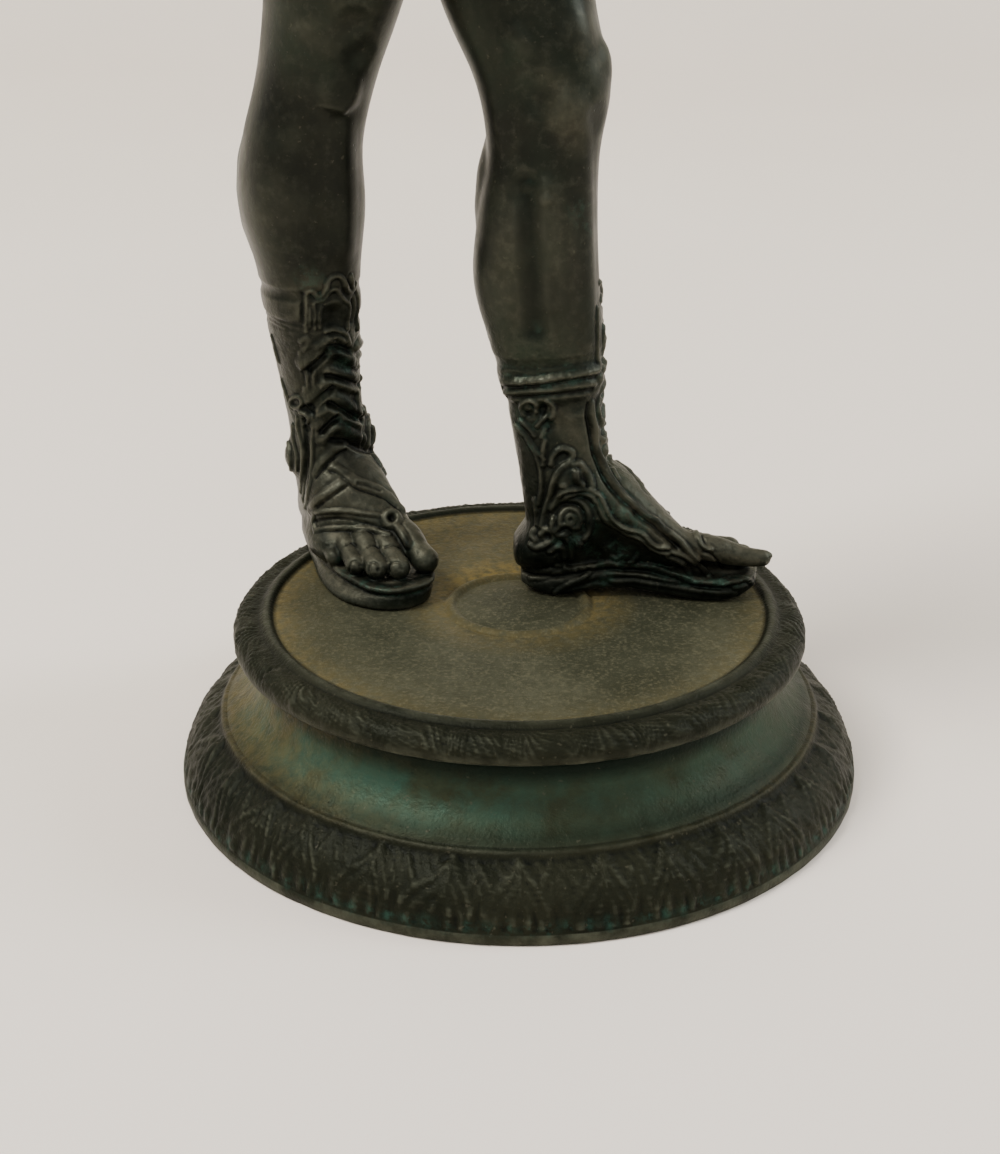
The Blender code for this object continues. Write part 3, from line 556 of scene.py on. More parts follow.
plinth_mesh = chase_plinth(spun(plinth_profile(), PLINTH_STEPS))
print("plinth corners", len(plinth_mesh.vertices))

# %% [markdown]
# ## Legs and boots
#
# The youth's weight is on the right leg, and the left foot steps out to the side. Each leg is a
# loft of level sections, with eggs for the kneecap and the calf. The boots leave the toes bare: a
# thick layered sole carries the foot, laces cross the instep, folded straps run up the shin to a
# standing flap, and rolled bands close the top. A boot has no edge against the bare shin, so each
# leg is one piece from the sole to the thigh. The clay of leg and foot is fused coarsely and
# softened first, and then again with the toes and the sole, which stay crisp.

# %% Sections of the legs
RIGHT_LEG = [
    (12, -38.2, 27.0, 20, 7.6, 9.0),
    (20, -38.8, 25.6, 20, 7.7, 8.8),
    (28, -39.2, 25.0, 20, 7.6, 8.2),
    (38, -40.2, 24.4, 20, 7.9, 8.4),
    (50, -41.0, 24.0, 20, 9.0, 9.8),
    (62, -41.5, 23.6, 20, 10.0, 11.2),
    (74, -42.1, 22.8, 20, 12.0, 12.6),
    (86, -41.4, 21.6, 22, 11.2, 12.0),
    (98, -38.2, 20.8, 24, 11.0, 11.6),
    (110, -34.8, 19.2, 26, 12.1, 12.9),
    (125, -31.6, 16.8, 30, 13.8, 14.8),
    (140, -29.4, 14.4, 34, 15.2, 16.4),
    (156, -28.4, 12.6, 40, 15.8, 17.6),
]
LEFT_LEG = [
    (12, 10.8, 9.6, 91, 6.6, 9.2),
    (20, 10.0, 9.8, 91, 6.8, 9.5),
    (28, 8.2, 10.2, 91, 6.7, 8.9),
    (38, 6.7, 10.8, 90, 7.0, 9.3),
    (50, 5.1, 11.6, 89, 8.6, 11.0),
    (62, 3.0, 12.4, 88, 10.2, 12.0),
    (74, 3.1, 13.2, 87, 10.6, 11.3),
    (86, 4.1, 14.2, 86, 10.0, 10.5),
    (98, 4.0, 15.2, 84, 10.4, 12.4),
    (110, -0.1, 17.6, 80, 11.8, 13.8),
    (125, -3.8, 21.0, 74, 13.4, 15.4),
    (140, -6.6, 24.6, 66, 14.8, 16.8),
    (156, -8.2, 28.0, 56, 15.4, 17.6),
]
RIGHT_LEG_FORMS = [
    (99, 0.4, 9.6, (5.4, 3.6, 6.6)),
    (76, -3.6, -5.6, (8.0, 8.0, 17.0)),
    (26, 6.0, 0.0, (3.6, 4.2, 4.6)),
    (22, -6.2, -1.0, (3.2, 4.0, 4.4)),
]
LEFT_LEG_FORMS = [
    (100, 0.0, 9.8, (5.2, 3.6, 6.8)),
    (75, 2.6, -4.4, (7.9, 7.9, 19.0)),
    (25, -5.0, 0.0, (3.4, 4.2, 4.6)),
    (22, 5.4, -1.0, (3.4, 4.0, 4.4)),
]

# %% Feet and soles
# Each foot: where its heel stands, the way it points, its length and the side of its big toe;
# how high its instep is, whether its sole is arched, how far all toes and the big toe reach on in
# shares of the length, and how far the big toe's tip is lifted and thinned
RIGHT_FOOT = {
    "heel": (-41.6, 34.2), "turn": 25.0, "length": 43.0, "medial": 1.0, "instep": 1.0,
    "arch": 0.0, "toes_on": 0.0, "big_toe_on": 0.0, "tip_lift": 0.0, "tip_size": 1.0,
}
LEFT_FOOT = {
    "heel": (-1.4, 9.4), "turn": 91.5, "length": 49.6, "medial": -1.0, "instep": 1.09,
    "arch": 1.0, "toes_on": 0.05, "big_toe_on": 0.1, "tip_lift": 1.7, "tip_size": 0.62,
}

# The upper from heel to toes: share of the length, across, half width, middle height, half height
UPPER = [
    (0.005, 0.0, 4.4, 7.8, 2.6),
    (0.045, 0.0, 6.1, 8.8, 4.2),
    (0.10, -0.1, 7.2, 10.4, 6.4),
    (0.18, -0.2, 7.9, 12.8, 9.2),
    (0.30, -0.4, 8.3, 14.8, 11.0),
    (0.42, -0.2, 8.4, 13.8, 9.8),
    (0.50, 0.9, 7.8, 12.6, 8.0),
    (0.56, 2.6, 6.5, 11.6, 6.2),
    (0.62, 4.2, 5.1, 10.6, 4.8),
    (0.68, 5.9, 3.4, 9.8, 3.4),
    (0.73, 6.6, 2.8, 9.4, 2.6),
]
# The low outer wall of the forefoot, in the same terms
OUTER_WALL = [
    (0.18, -3.6, 4.4, 7.0, 3.2),
    (0.30, -4.2, 5.0, 7.2, 3.8),
    (0.40, -4.6, 5.3, 7.4, 4.2),
    (0.48, -4.6, 5.2, 7.4, 4.2),
    (0.55, -4.0, 4.8, 7.0, 3.6),
    (0.60, -3.2, 4.2, 6.6, 2.8),
]
# The sole: share of the length, medial and lateral half widths at its foot, then at its lip
SOLE = [
    (0.035, 3.2, 3.2, 3.0, 3.0),
    (0.09, 5.5, 5.3, 5.3, 5.0),
    (0.20, 6.9, 6.7, 6.7, 6.2),
    (0.35, 6.6, 7.9, 6.6, 7.2),
    (0.48, 6.9, 9.0, 6.9, 7.9),
    (0.60, 8.0, 9.5, 8.2, 7.7),
    (0.72, 9.1, 9.1, 9.5, 7.0),
    (0.82, 9.5, 7.7, 10.2, 5.8),
    (0.90, 8.5, 5.4, 9.5, 4.6),
    (0.96, 6.2, 2.2, 7.0, 2.0),
    (0.985, 3.0, -0.8, 3.4, -0.8),
]
# Levels of the sole: height, share of the way from its foot to its lip, and inset
SOLE_LEVELS = [
    (0.3, 0.0, 0.35),
    (0.7, 0.0, 0.0),
    (1.6, 0.25, 0.0),
    (2.7, 0.7, 0.2),
    (3.1, 0.95, 0.8),
    (3.6, 1.0, 0.8),
    (3.9, 1.0, 0.0),
    (4.6, 1.0, 0.0),
    (4.8, 1.0, 0.35),
]
# An arched sole's upper edge and its underside: share of the length, height
ARCHED_TOP = [
    (0.0, 5.0), (0.19, 6.3), (0.31, 7.4), (0.42, 8.0), (0.55, 7.6), (0.65, 6.0), (0.74, 4.9),
    (0.82, 4.5), (0.88, 5.1), (1.0, 4.7),
]
ARCHED_FOOT = [
    (0.0, 2.2), (0.10, 0.9), (0.17, 0.6), (0.31, 1.7), (0.46, 1.9), (0.62, 1.0), (0.76, 0.3),
    (0.90, 0.6), (1.0, 2.4),
]
# Toes from the big one: along and across at the root, then at the tip, in millimetres, and radius
TOES = [
    (26.5, 6.3, 39.6, 8.2, 2.75),
    (24.0, 2.8, 39.6, 2.4, 2.35),
    (21.0, -0.6, 37.8, -1.6, 2.3),
    (18.0, -3.8, 34.0, -4.6, 2.05),
    (15.0, -6.4, 27.6, -7.0, 1.75),
]
TOE_SCALE = 43.0
# How a toe bends: share of its length, height and thickness in shares of its radius
TOE_BEND = [(0.0, 2.4, 0.95), (0.4, 2.0, 1.03), (0.72, 1.35, 0.95), (1.0, 0.95, 1.0)]
INSOLE_TOP = 4.8
SOFT_VOXEL = 0.6
LEG_SOFTENING = 16
LEG_VOXEL = 0.3
LEG_TRIANGLES = 190000
LEG_TOP = 150.0
RELIEF_UNEVENNESS = 0.5
RELIEF_ROUGHNESS = 0.07


class Foot:
    """Places points on a foot: along it, across it towards the big toe, and up."""

    def __init__(self, facts):
        self.heel = Vector((*facts["heel"], 0.0))
        self.turn = facts["turn"]
        self.length = facts["length"]
        self.arch = facts["arch"]
        self.facts = facts
        self.ahead = facing(self.turn)
        self.medial = leftward(self.turn) * facts["medial"]

    def at(self, share, across, height):
        along = self.ahead * (share * self.length)
        return self.heel + along + self.medial * across + Vector((0.0, 0.0, height))


def upper(bm, foot):
    """The flesh and leather of a foot, with the low outer wall beside it."""
    for table in (UPPER, OUTER_WALL):
        rings = []
        for share, across, width, middle, half in smooth_rows(table, 4):
            lift = 1.0 + (foot.facts["instep"] - 1.0) * math.sin(math.pi * share)
            centre = foot.at(share, across, middle * lift)
            rings.append(ring(bm, centre, foot.medial * width, UP * half * lift, 2.3, 36))
        loft(bm, rings)


def toes(bm, foot):
    """Long toes side by side, each a little bent, with a nail pressed flat on its tip."""
    facts = foot.facts
    for i, (root, root_across, tip, tip_across, radius) in enumerate(TOES):
        reach = facts["big_toe_on"] if i == 0 else facts["toes_on"]
        lift = facts["tip_lift"] if i == 0 else 0.0
        size = facts["tip_size"] if i == 0 else 1.0
        start = root / TOE_SCALE + 0.5 * reach
        end = tip / TOE_SCALE + reach - radius * size / foot.length
        path = []
        for t, height, swell in TOE_BEND:
            share = start + (end - start) * t
            across = root_across + (tip_across - root_across) * t
            thick = radius * swell * (1.0 + (size - 1.0) * t * t)
            rise = INSOLE_TOP + thick * 0.1 + radius * (height - 0.1) + lift * t * t
            path.append((*foot.at(share, across, rise), thick, thick))
        sausage(bm, path, segments=20)
        nail = foot.at(end, tip_across, path[-1][2] + path[-1][3] * 0.52)
        ball(bm, nail, (radius * 0.66 * size, radius * 0.8, radius * 0.5 * size), foot.turn, 12.0)


def sole(bm, foot):
    """A flared wall, a recess and a thin lip that carries the toes."""
    rows = smooth_rows(SOLE, 6)
    lowest = SOLE_LEVELS[0][0]
    thick = INSOLE_TOP - lowest
    rings = []
    for height, share_up, inset in SOLE_LEVELS:
        spots = []
        for side in (1.0, -1.0):
            line = []
            for share, inner, outer, lip_inner, lip_outer in rows:
                low, high = (inner, lip_inner) if side > 0 else (outer, lip_outer)
                reach = low + (high - low) * share_up - inset
                top = INSOLE_TOP + foot.arch * (np.interp(share, *zip(*ARCHED_TOP)) - INSOLE_TOP)
                foot_low = lowest + foot.arch * (np.interp(share, *zip(*ARCHED_FOOT)) - lowest)
                level = foot_low + (top - foot_low) * (height - lowest) / thick
                along = share + inset * 0.8 * (0.5 - share) / foot.length
                line.append(foot.at(along, side * reach, level))
            spots += line if side > 0 else line[::-1]
        verts = [bm.verts.new(spot) for spot in spots]
        rings.append([bm.edges.new(pair) for pair in zip(verts, verts[1:] + verts[:1])])
    loft(bm, rings)


# %% Model a leg
class Leg:
    """A leg's clay, and the frame that its boot's ornament is laid out in."""

    def __init__(self, facts, table, muscles):
        self.foot = Foot(facts)
        self.leg = Axis(table)
        rows = [row for row in smooth_rows(table, 4) if row[0] <= LEG_TOP]
        mesh = clay(
            lambda bm: upper(bm, self.foot),
            lambda bm: trunk(bm, rows, steps=1),
            lambda bm: forms(bm, self.leg, muscles),
        )
        mesh = fused(mesh, SOFT_VOXEL, LEG_SOFTENING)
        mesh = clay(lambda bm: toes(bm, self.foot), lambda bm: sole(bm, self.foot), onto=mesh)
        self.skin = Skin(fused(mesh, LEG_VOXEL, 2))

    def axis_at(self, heights):
        table = self.leg.table
        clipped = np.clip(heights, 28.0, None)
        return np.column_stack([np.interp(clipped, table[:, 0], table[:, i]) for i in (1, 2)])

    def to_design(self, path):
        """Ahead in foot lengths, across towards the big toe, and height."""
        gap = path[:, :2] - self.axis_at(path[:, 2])
        ahead = gap @ np.array(self.foot.ahead)[:2] / self.foot.length
        return np.column_stack([ahead, gap @ np.array(self.foot.medial)[:2], path[:, 2]])

    def from_design(self, rows, side=1.0):
        """The same line on this leg's skin; side -1 lays it on the outer side."""
        flat = self.axis_at(rows[:, 2])
        flat = flat + rows[:, :1] * self.foot.length * np.array(self.foot.ahead)[:2]
        flat = flat + rows[:, 1:2] * side * np.array(self.foot.medial)[:2]
        path = []
        for (x, y), z in zip(flat, rows[:, 2]):
            path.append(self.skin.tree.find_nearest(Vector((x, y, z)))[0])
        return np.array(path)

    def girdle(self, height, tilt, half_width, rise):
        """A cord right round the shin, higher in front by tilt."""
        path = []
        for angle in np.linspace(0.0, 2.0 * math.pi, 61):
            centre, turn = self.leg.at(height)
            out = leftward(turn) * math.cos(angle) + facing(turn) * math.sin(angle)
            centre.z += tilt * 9.0 * out.dot(self.foot.ahead)
            hit = self.skin.tree.ray_cast(centre + out * 30.0, -out)[0]
            if hit is not None:
                path.append(hit)
        self.skin.raise_line(np.array(path), half_width, rise, 0.3)


# %% [markdown]
# ## The boots' straps and scrolls
#
# The photo shows the front of the right boot and the inner side of the left one. The lines below
# are drawn in the photo's own pixels, so that each strap of the model lies on the same strap of
# the picture. A group names a feature, then gives half its width and its rise in millimetres,
# where a negative rise is a cut, and then the lines. Each line is laid on its own boot first, and
# then on the other boot in the same place of the foot, so that both boots are complete.

# %% Drawing helpers
def circle(centre, radius, start=0.0, end=360.0, count=14, shrink=0.0):
    """Places round a centre in the photo; shrink winds the circle into a spiral."""
    spots = []
    for t in np.linspace(0.0, 1.0, count):
        angle = math.radians(start + (end - start) * t)
        reach = radius * (1.0 - shrink * t)
        spots.append((centre[0] + reach * math.cos(angle), centre[1] - reach * math.sin(angle)))
    return spots


# %% The front of the boot
BOOT_FRONT = {
    "flap_edge": (0.55, 0.55, [
        [(306, 331), (305, 318), (305, 304), (307, 293), (312, 291), (317, 296), (322, 296),
         (326, 290), (328, 282), (332, 278), (338, 276), (343, 279), (346, 286), (350, 292),
         (354, 290), (356, 284)],
        [(356, 288), (357, 300), (357, 315), (357, 329)],
        [(351, 276), (352, 283), (354, 289)],
    ]),
    "flap_inner": (0.45, 0.45, [
        [(315, 329), (315, 314), (314, 303), (319, 301), (325, 299), (329, 293), (333, 290),
         (337, 290), (341, 295), (345, 301), (349, 305), (349, 317), (348, 329)],
        [(310, 327), (310, 308)],
        [(320, 328), (319, 314), (321, 306)],
    ]),
    "flap_foot": (0.6, 0.55, [
        [(326, 331), (333, 329), (340, 331), (346, 335), (349, 343)],
        [(328, 338), (338, 337), (345, 341)],
    ]),
    "knots": (0.8, 0.45, [
        [(302, 341), (306, 338), (308, 344), (304, 350)],
        [(312, 347), (320, 344), (328, 338)],
    ]),
    "wide_straps": (1.5, 0.6, [
        [(303, 363), (311, 357), (319, 350), (328, 342)],
        [(308, 398), (315, 394), (322, 388), (329, 381)],
        [(317, 425), (324, 418), (331, 411)],
    ]),
    "folded_straps": (1.15, 0.72, [
        [(331, 350), (341, 355), (352, 361), (358, 364)],
        [(329, 371), (340, 374), (352, 377), (359, 379)],
        [(322, 385), (329, 380), (338, 382), (350, 386), (359, 389)],
        [(316, 403), (323, 398), (331, 396), (341, 400), (352, 407), (362, 413)],
        [(321, 414), (329, 409), (338, 413), (349, 420), (358, 425)],
        [(322, 440), (331, 431), (340, 427), (350, 431), (364, 438)],
    ]),
    "strap_gaps": (1.0, -0.95, [
        [(309, 370), (318, 362), (328, 353)],
        [(328, 376), (340, 379), (350, 383), (359, 386)],
        [(313, 406), (322, 397), (332, 388)],
        [(330, 404), (342, 411), (352, 416), (363, 421)],
        [(322, 432), (330, 424), (338, 417)],
        [(332, 441), (345, 442), (357, 447), (373, 452)],
        [(330, 347), (340, 348), (350, 351)],
    ]),
    "uprights": (0.5, 0.45, [
        [(300, 352), (301, 365), (303, 377), (305, 390), (308, 402)],
        [(306, 372), (307, 385), (310, 397)],
        [(314, 372), (314, 385), (316, 394)],
        [(311, 410), (313, 425), (312, 445), (312, 462), (310, 482), (306, 508)],
        [(317, 405), (317, 425), (317, 442)],
        [(297, 418), (298, 430), (302, 445), (303, 460), (302, 476), (301, 492)],
        [(293, 425), (294, 440), (297, 455), (297, 470)],
        [(288, 440), (290, 455), (291, 470), (293, 482)],
        [(272, 336), (276, 350), (279, 362)],
        [(282, 380), (287, 395), (291, 408)],
    ]),
    "upright_gaps": (0.7, -0.65, [
        [(303, 372), (304, 384)],
        [(304, 420), (306, 440), (307, 455), (305, 478), (303, 500)],
        [(303, 294), (303, 308), (303, 322)],
        [(352, 300), (353, 312), (352, 322)],
    ]),
    "cuff_lines": (0.4, 0.22, [
        [(264, 312), (272, 318), (281, 323), (292, 327), (303, 330)],
        [(266, 318), (274, 323), (284, 328)],
    ]),
    "crossed_straps": (1.05, 0.4, [
        [(345, 446), (336, 450), (327, 457), (319, 465), (313, 472)],
        [(332, 466), (343, 473), (354, 480), (366, 485), (380, 490), (392, 498), (403, 509)],
        [(347, 480), (337, 487), (327, 494), (317, 501), (309, 510)],
    ]),
    "crossed_gaps": (0.55, -0.42, [
        [(346, 450), (338, 454), (330, 462), (322, 470), (315, 478)],
        [(330, 471), (338, 474), (346, 481), (356, 488), (370, 493), (384, 498), (396, 507)],
        [(348, 485), (338, 492), (328, 499), (317, 507)],
        [(358, 484), (368, 486), (380, 491)],
    ]),
    "toe_band_edges": (0.55, 0.42, [
        [(312, 513), (330, 511), (345, 511), (362, 513), (379, 515)],
        [(314, 513), (313, 522), (315, 531)],
        [(317, 530), (335, 528), (355, 528), (370, 529), (389, 534)],
    ]),
    "toe_band_gap": (0.5, -0.35, [
        [(316, 521), (330, 519), (345, 519), (360, 522), (375, 526), (386, 530)],
    ]),
    "toe_ring": (0.8, 0.75, [
        circle((391.5, 518.5), 6.8),
        [(397, 527), (403, 535), (408, 545)],
    ]),
    "rosette": (0.5, 0.6, [
        circle((296.5, 402), 5.5),
        [(300, 412), (306, 414), (309, 420), (304, 426)],
    ]),
}
# Soft bumps and dents: place in the photo, radius and rise in millimetres
BOOT_FRONT_DABS = [
    ((361, 310), 2.6, 1.3), ((364, 391), 2.8, 1.0), ((334, 315), 3.2, -0.9),
    ((289, 455), 3.4, 0.15),
    ((391.5, 518.5), 1.2, -0.4), ((305, 409), 1.2, -0.7), ((311, 412), 1.2, -0.6),
    ((306, 428), 1.3, -0.6), ((340, 363), 3.0, -0.5), ((259, 300), 3.0, 0.35),
]

# %% The inner side of the boot
BOOT_SIDE = {
    "volute": (0.55, 0.6, [
        circle((528.5, 409), 8.5, -20, 230, 14, 0.1),
        [(537, 426), (543, 420), (547, 414), (549, 408)],
        [(547, 401), (552, 405), (553, 412), (550, 421), (545, 429), (542, 437)],
        [(520, 420), (525, 424), (530, 430), (534, 436)],
        [(516, 425), (522, 433), (530, 442), (537, 452), (544, 459)],
        [(527, 440), (533, 450), (538, 460), (541, 474), (541, 490), (539, 504)],
        [(545, 440), (543, 452), (543, 465)],
    ]),
    "spiral": (0.7, 0.62, [
        [(551, 464), (553, 456), (559, 450), (566, 449), (572, 453), (571, 460)],
        [(570, 462), (562, 467), (556, 475), (552, 485), (550, 495), (547, 505), (543, 516),
         (541, 526)],
        [(535, 500), (537, 512), (537, 524)],
    ]),
    "curl": (0.75, 0.6, [
        [(573, 464), (580, 464), (585, 470), (590, 478), (592, 488)],
        [(575, 472), (577, 480), (583, 485)],
    ]),
    "rosette": (0.68, 0.68, [
        [(551, 508), (556, 503), (562, 499), (569, 499), (577, 500), (584, 504), (588, 511),
         (589, 520)],
        [(560, 523), (562, 514), (569, 509), (576, 511), (580, 518), (578, 527)],
        circle((571, 519), 4.0),
        [(556, 531), (562, 525), (568, 524), (574, 528)],
        [(553, 519), (552, 528), (557, 535), (566, 534)],
        [(589, 522), (590, 531), (585, 538)],
    ]),
    "heel_curls": (0.72, 0.62, [
        [(541, 534), (545, 530), (551, 532), (553, 538), (549, 543), (543, 546), (536, 547),
         (531, 544)],
        [(562, 535), (567, 540), (570, 548), (571, 557)],
        [(550, 551), (557, 547), (563, 549), (565, 556)],
        [(534, 530), (532, 536), (535, 541)],
        [(556, 563), (562, 565), (568, 569)],
    ]),
    "small_spirals": (0.55, 0.55, [
        [(611, 557), (617, 559), (623, 554), (624, 548), (620, 543)],
        [(625, 542), (630, 545), (633, 549)],
        [(636, 548), (638, 553), (635, 560), (630, 563)],
    ]),
    "panel_edge": (0.62, 0.75, [
        [(552, 505), (558, 497), (564, 491), (575, 489), (588, 490), (598, 495), (603, 503),
         (608, 514), (613, 521), (620, 526), (628, 530), (638, 532), (645, 536), (650, 542),
         (658, 547), (668, 547)],
        [(566, 496), (576, 494), (588, 495), (595, 500), (600, 508), (604, 517), (610, 525),
         (618, 531), (627, 535), (637, 537), (643, 541), (648, 547), (656, 552), (668, 553)],
    ]),
    "front_edge": (0.7, 0.7, [
        [(593, 403), (592, 414), (595, 426), (596, 438), (598, 450), (603, 461), (608, 472),
         (613, 481), (619, 489), (627, 498), (637, 506), (648, 516), (657, 521), (664, 529),
         (673, 535), (681, 542), (689, 551), (698, 559)],
    ]),
    "front_gap": (0.8, -0.7, [
        [(589, 405), (588, 415), (590, 428), (592, 440), (594, 452), (598, 463), (603, 475),
         (608, 484), (615, 493), (623, 502), (633, 511), (644, 520), (653, 526), (660, 533),
         (669, 540), (677, 547)],
    ]),
    "top_roll": (1.05, 0.72, [
        [(503, 382), (515, 382), (530, 381), (545, 379), (560, 377), (575, 374), (590, 371),
         (597, 369)],
    ]),
    "lower_roll": (0.8, 0.5, [
        [(501, 392), (515, 392), (530, 391), (550, 390), (570, 387), (585, 385), (594, 384)],
    ]),
    "roll_gaps": (0.55, -0.45, [
        [(503, 387), (520, 387), (545, 385), (570, 381), (595, 377)],
        [(503, 397), (525, 397), (550, 395), (575, 392), (592, 390)],
    ]),
    "shin_edges": (0.5, 0.5, [
        [(597, 308), (597, 335), (599, 367)],
        [(603, 308), (603, 335), (604, 367)],
        [(600, 398), (598, 410), (602, 424), (604, 440), (607, 452), (612, 466), (618, 478)],
    ]),
    "top_cord": (0.5, 0.3, [
        [(500, 371), (515, 371), (530, 373), (545, 371), (560, 370), (575, 368), (592, 365)],
    ]),
    "toe_straps": (0.6, 0.5, [
        [(672, 552), (685, 556), (693, 561), (701, 567), (709, 576)],
        [(666, 556), (676, 560), (686, 566), (690, 573)],
        [(693, 528), (698, 536), (703, 545), (711, 549)],
    ]),
    "toe_strap_gaps": (0.45, -0.4, [
        [(703, 552), (710, 554), (716, 560), (722, 567)],
        [(702, 536), (704, 543), (709, 547)],
    ]),
    "sole_strands": (0.6, 0.22, [
        [(551, 596), (560, 590), (570, 584), (582, 579), (594, 568)],
        [(590, 566), (600, 563), (612, 563), (622, 568)],
        [(622, 567), (640, 566), (655, 567), (668, 572)],
        [(610, 574), (630, 574), (650, 577), (670, 581), (700, 583), (716, 582)],
        [(612, 582), (632, 581), (655, 584), (680, 588), (705, 592), (735, 594)],
        [(720, 580), (730, 576), (742, 577), (752, 582)],
        [(530, 578), (545, 577), (560, 572), (575, 571)],
    ]),
    "sole_gaps": (0.6, -0.25, [
        [(625, 571), (645, 571), (665, 576), (685, 579)],
        [(612, 578), (640, 579), (670, 584), (700, 587), (730, 589)],
        [(565, 591), (580, 586), (600, 581), (615, 586)],
    ]),
}
BOOT_SIDE_DABS = [
    ((625.5, 514), 2.4, 0.55), ((580, 543), 1.7, 1.0), ((610, 380), 2.8, 1.2),
    ((578, 473), 1.6, 0.5),
    ((564, 487), 1.3, 0.6), ((581, 488), 1.4, 0.6), ((572, 492), 1.2, 0.5), ((600, 378), 1.6, 0.5),
    ((527, 408), 1.4, 0.45), ((528, 414), 1.2, -0.5), ((548, 537), 1.1, -0.5),
    ((538, 560), 4.5, 0.5),
    ((556, 560), 3.0, 0.5), ((606, 536), 4.0, -0.9), ((620, 546), 4.4, -1.0),
    ((600, 550), 4.6, -0.9), ((640, 553), 3.4, -0.8), ((590, 556), 3.6, -0.6),
    ((655, 558), 2.6, -0.6),
    ((543, 411), 1.8, -0.6), ((548, 425), 1.8, -0.5), ((556, 425), 3.0, -0.3),
]
# Bands round the top of each boot: height, rise in front, half width and rise
RIGHT_BANDS = [(55.3, 0.0, 2.4, 0.22)]
LEFT_BANDS = [(43.4, 0.085, 3.2, 0.3)]
BAND_BEADS = [
    (516, 380), (522, 382), (532, 381), (543, 380), (551, 377), (561, 376), (570, 375), (586, 372),
]

# Toe nails and the creases over the toes' joints, on the right foot
TOE_CUTS = [
    [(389, 571), (389, 565), (394, 562), (400, 563), (402, 569)],
    [(368, 571), (369, 564), (373, 562), (378, 565), (378, 571)],
    [(349, 571), (350, 564), (355, 561), (360, 565)],
    [(385, 547), (393, 545), (400, 548)],
    [(368, 547), (373, 545), (379, 548)],
    [(346, 545), (351, 543), (356, 546)],
]

# Swells and hollows of the bare legs
LEG_DABS = [
    ((313, 30), 5.0, 0.5), ((325, 54), 4.5, 0.45), ((352, 25), 4.5, -0.6), ((360, 52), 4.5, -0.6),
    ((351, 86), 5.5, -0.9), ((341, 97), 3.5, -0.4), ((275, 200), 9.0, 0.4), ((312, 285), 3.0, 0.35),
    ((568, 108), 5.5, 0.9), ((580, 30), 6.0, 0.6), ((515, 34), 3.0, 0.35), ((523, 46), 3.0, 0.35),
    ((540, 95), 5.0, -0.6), ((598, 118), 4.0, -0.5), ((527, 187), 1.6, 0.3), ((546, 199), 1.6, 0.3),
    ((508, 235), 8.0, 0.5),
]
LEG_STROKES = [
    ([(318, 112), (322, 160), (326, 215), (330, 262)], 5.5, -0.35),
    ([(345, 130), (348, 190), (346, 250)], 4.0, 0.35),
    ([(320, 106), (333, 109), (345, 112)], 1.0, 0.18),
    ([(526, 185), (529, 230), (532, 280), (536, 330)], 3.2, -0.7),
    ([(545, 190), (550, 240), (552, 300)], 3.6, 0.4),
    ([(583, 130), (588, 200), (590, 280), (590, 340)], 3.0, 0.3),
]


# %% Carve both legs
def lay_dabs(skin, dabs):
    for spot, radius, rise in dabs:
        for place in skin.cast([spot]):
            skin.press(place, radius, rise)


def carve(skin, path, half_width, rise):
    if rise > 0.0:
        skin.raise_line(path, half_width, rise, 0.1)
    else:
        skin.cut_line(path, half_width, -rise)


def lay_drawing(own, drawing, sides):
    """Carves a drawing on the leg that the photo shows, then as much of it as fits elsewhere.

    Each side names a leg, 1 or -1 for its inner or outer side, and how far across and ahead
    the drawing may reach there.
    """
    for half_width, rise, lines in drawing.values():
        for spots in lines:
            path = own.skin.cast(spots)
            if len(path) < 2:
                continue
            carve(own.skin, path, half_width, rise)
            rows = own.to_design(path)
            for leg, side, most_across, most_ahead in sides:
                kept = rows[(rows[:, 1] < most_across) & (rows[:, 0] < most_ahead)]
                if len(kept) > 1:
                    carve(leg.skin, leg.from_design(kept, side), half_width, rise)


def make_legs():
    right = Leg(RIGHT_FOOT, RIGHT_LEG, RIGHT_LEG_FORMS)
    left = Leg(LEFT_FOOT, LEFT_LEG, LEFT_LEG_FORMS)
    for leg in (right, left):
        lay_dabs(leg.skin, LEG_DABS)
        for spots, radius, rise in LEG_STROKES:
            leg.skin.stroke(leg.skin.cast(spots), radius, rise)
    lay_dabs(right.skin, BOOT_FRONT_DABS)
    lay_dabs(left.skin, BOOT_SIDE_DABS)
    lay_drawing(right, BOOT_FRONT, [(left, 1.0, 2.5, 1.0)])
    lay_drawing(left, BOOT_SIDE, [(left, -1.0, 99.0, 1.0), (right, 1.0, 99.0, 0.16)])
    for spots in TOE_CUTS:
        right.skin.cut_line(right.skin.cast(spots), 0.42, 0.32)
    for band in RIGHT_BANDS:
        right.girdle(*band)
    for band in LEFT_BANDS:
        left.girdle(*band)
    for spot in BAND_BEADS:
        for place in left.skin.cast([spot]):
            left.skin.press(place, 0.9, 0.28)
    meshes = []
    for leg in (right, left):
        mesh = leg.skin.set_back(RELIEF_UNEVENNESS, RELIEF_ROUGHNESS)
        mesh = with_modifiers(mesh, ("SMOOTH", {"factor": 0.5, "iterations": 2}))
        meshes.append(thinned(mesh, LEG_TRIANGLES))
    return meshes


right_leg_mesh, left_leg_mesh = make_legs()
print("leg corners", len(right_leg_mesh.vertices), len(left_leg_mesh.vertices))

# %% [markdown]
# ## Body, arms and head
#
# The photo ends at the thighs. The rest is finished in keeping and plainer: a calm youth with
# short curls and a cloth knotted at the hips. One clay holds the chest, arms, hands and head, so
# there is no seam at the neck. It is fused twice: the muscles first, softened well, and then the
# hands, face and curls, which stay crisp.

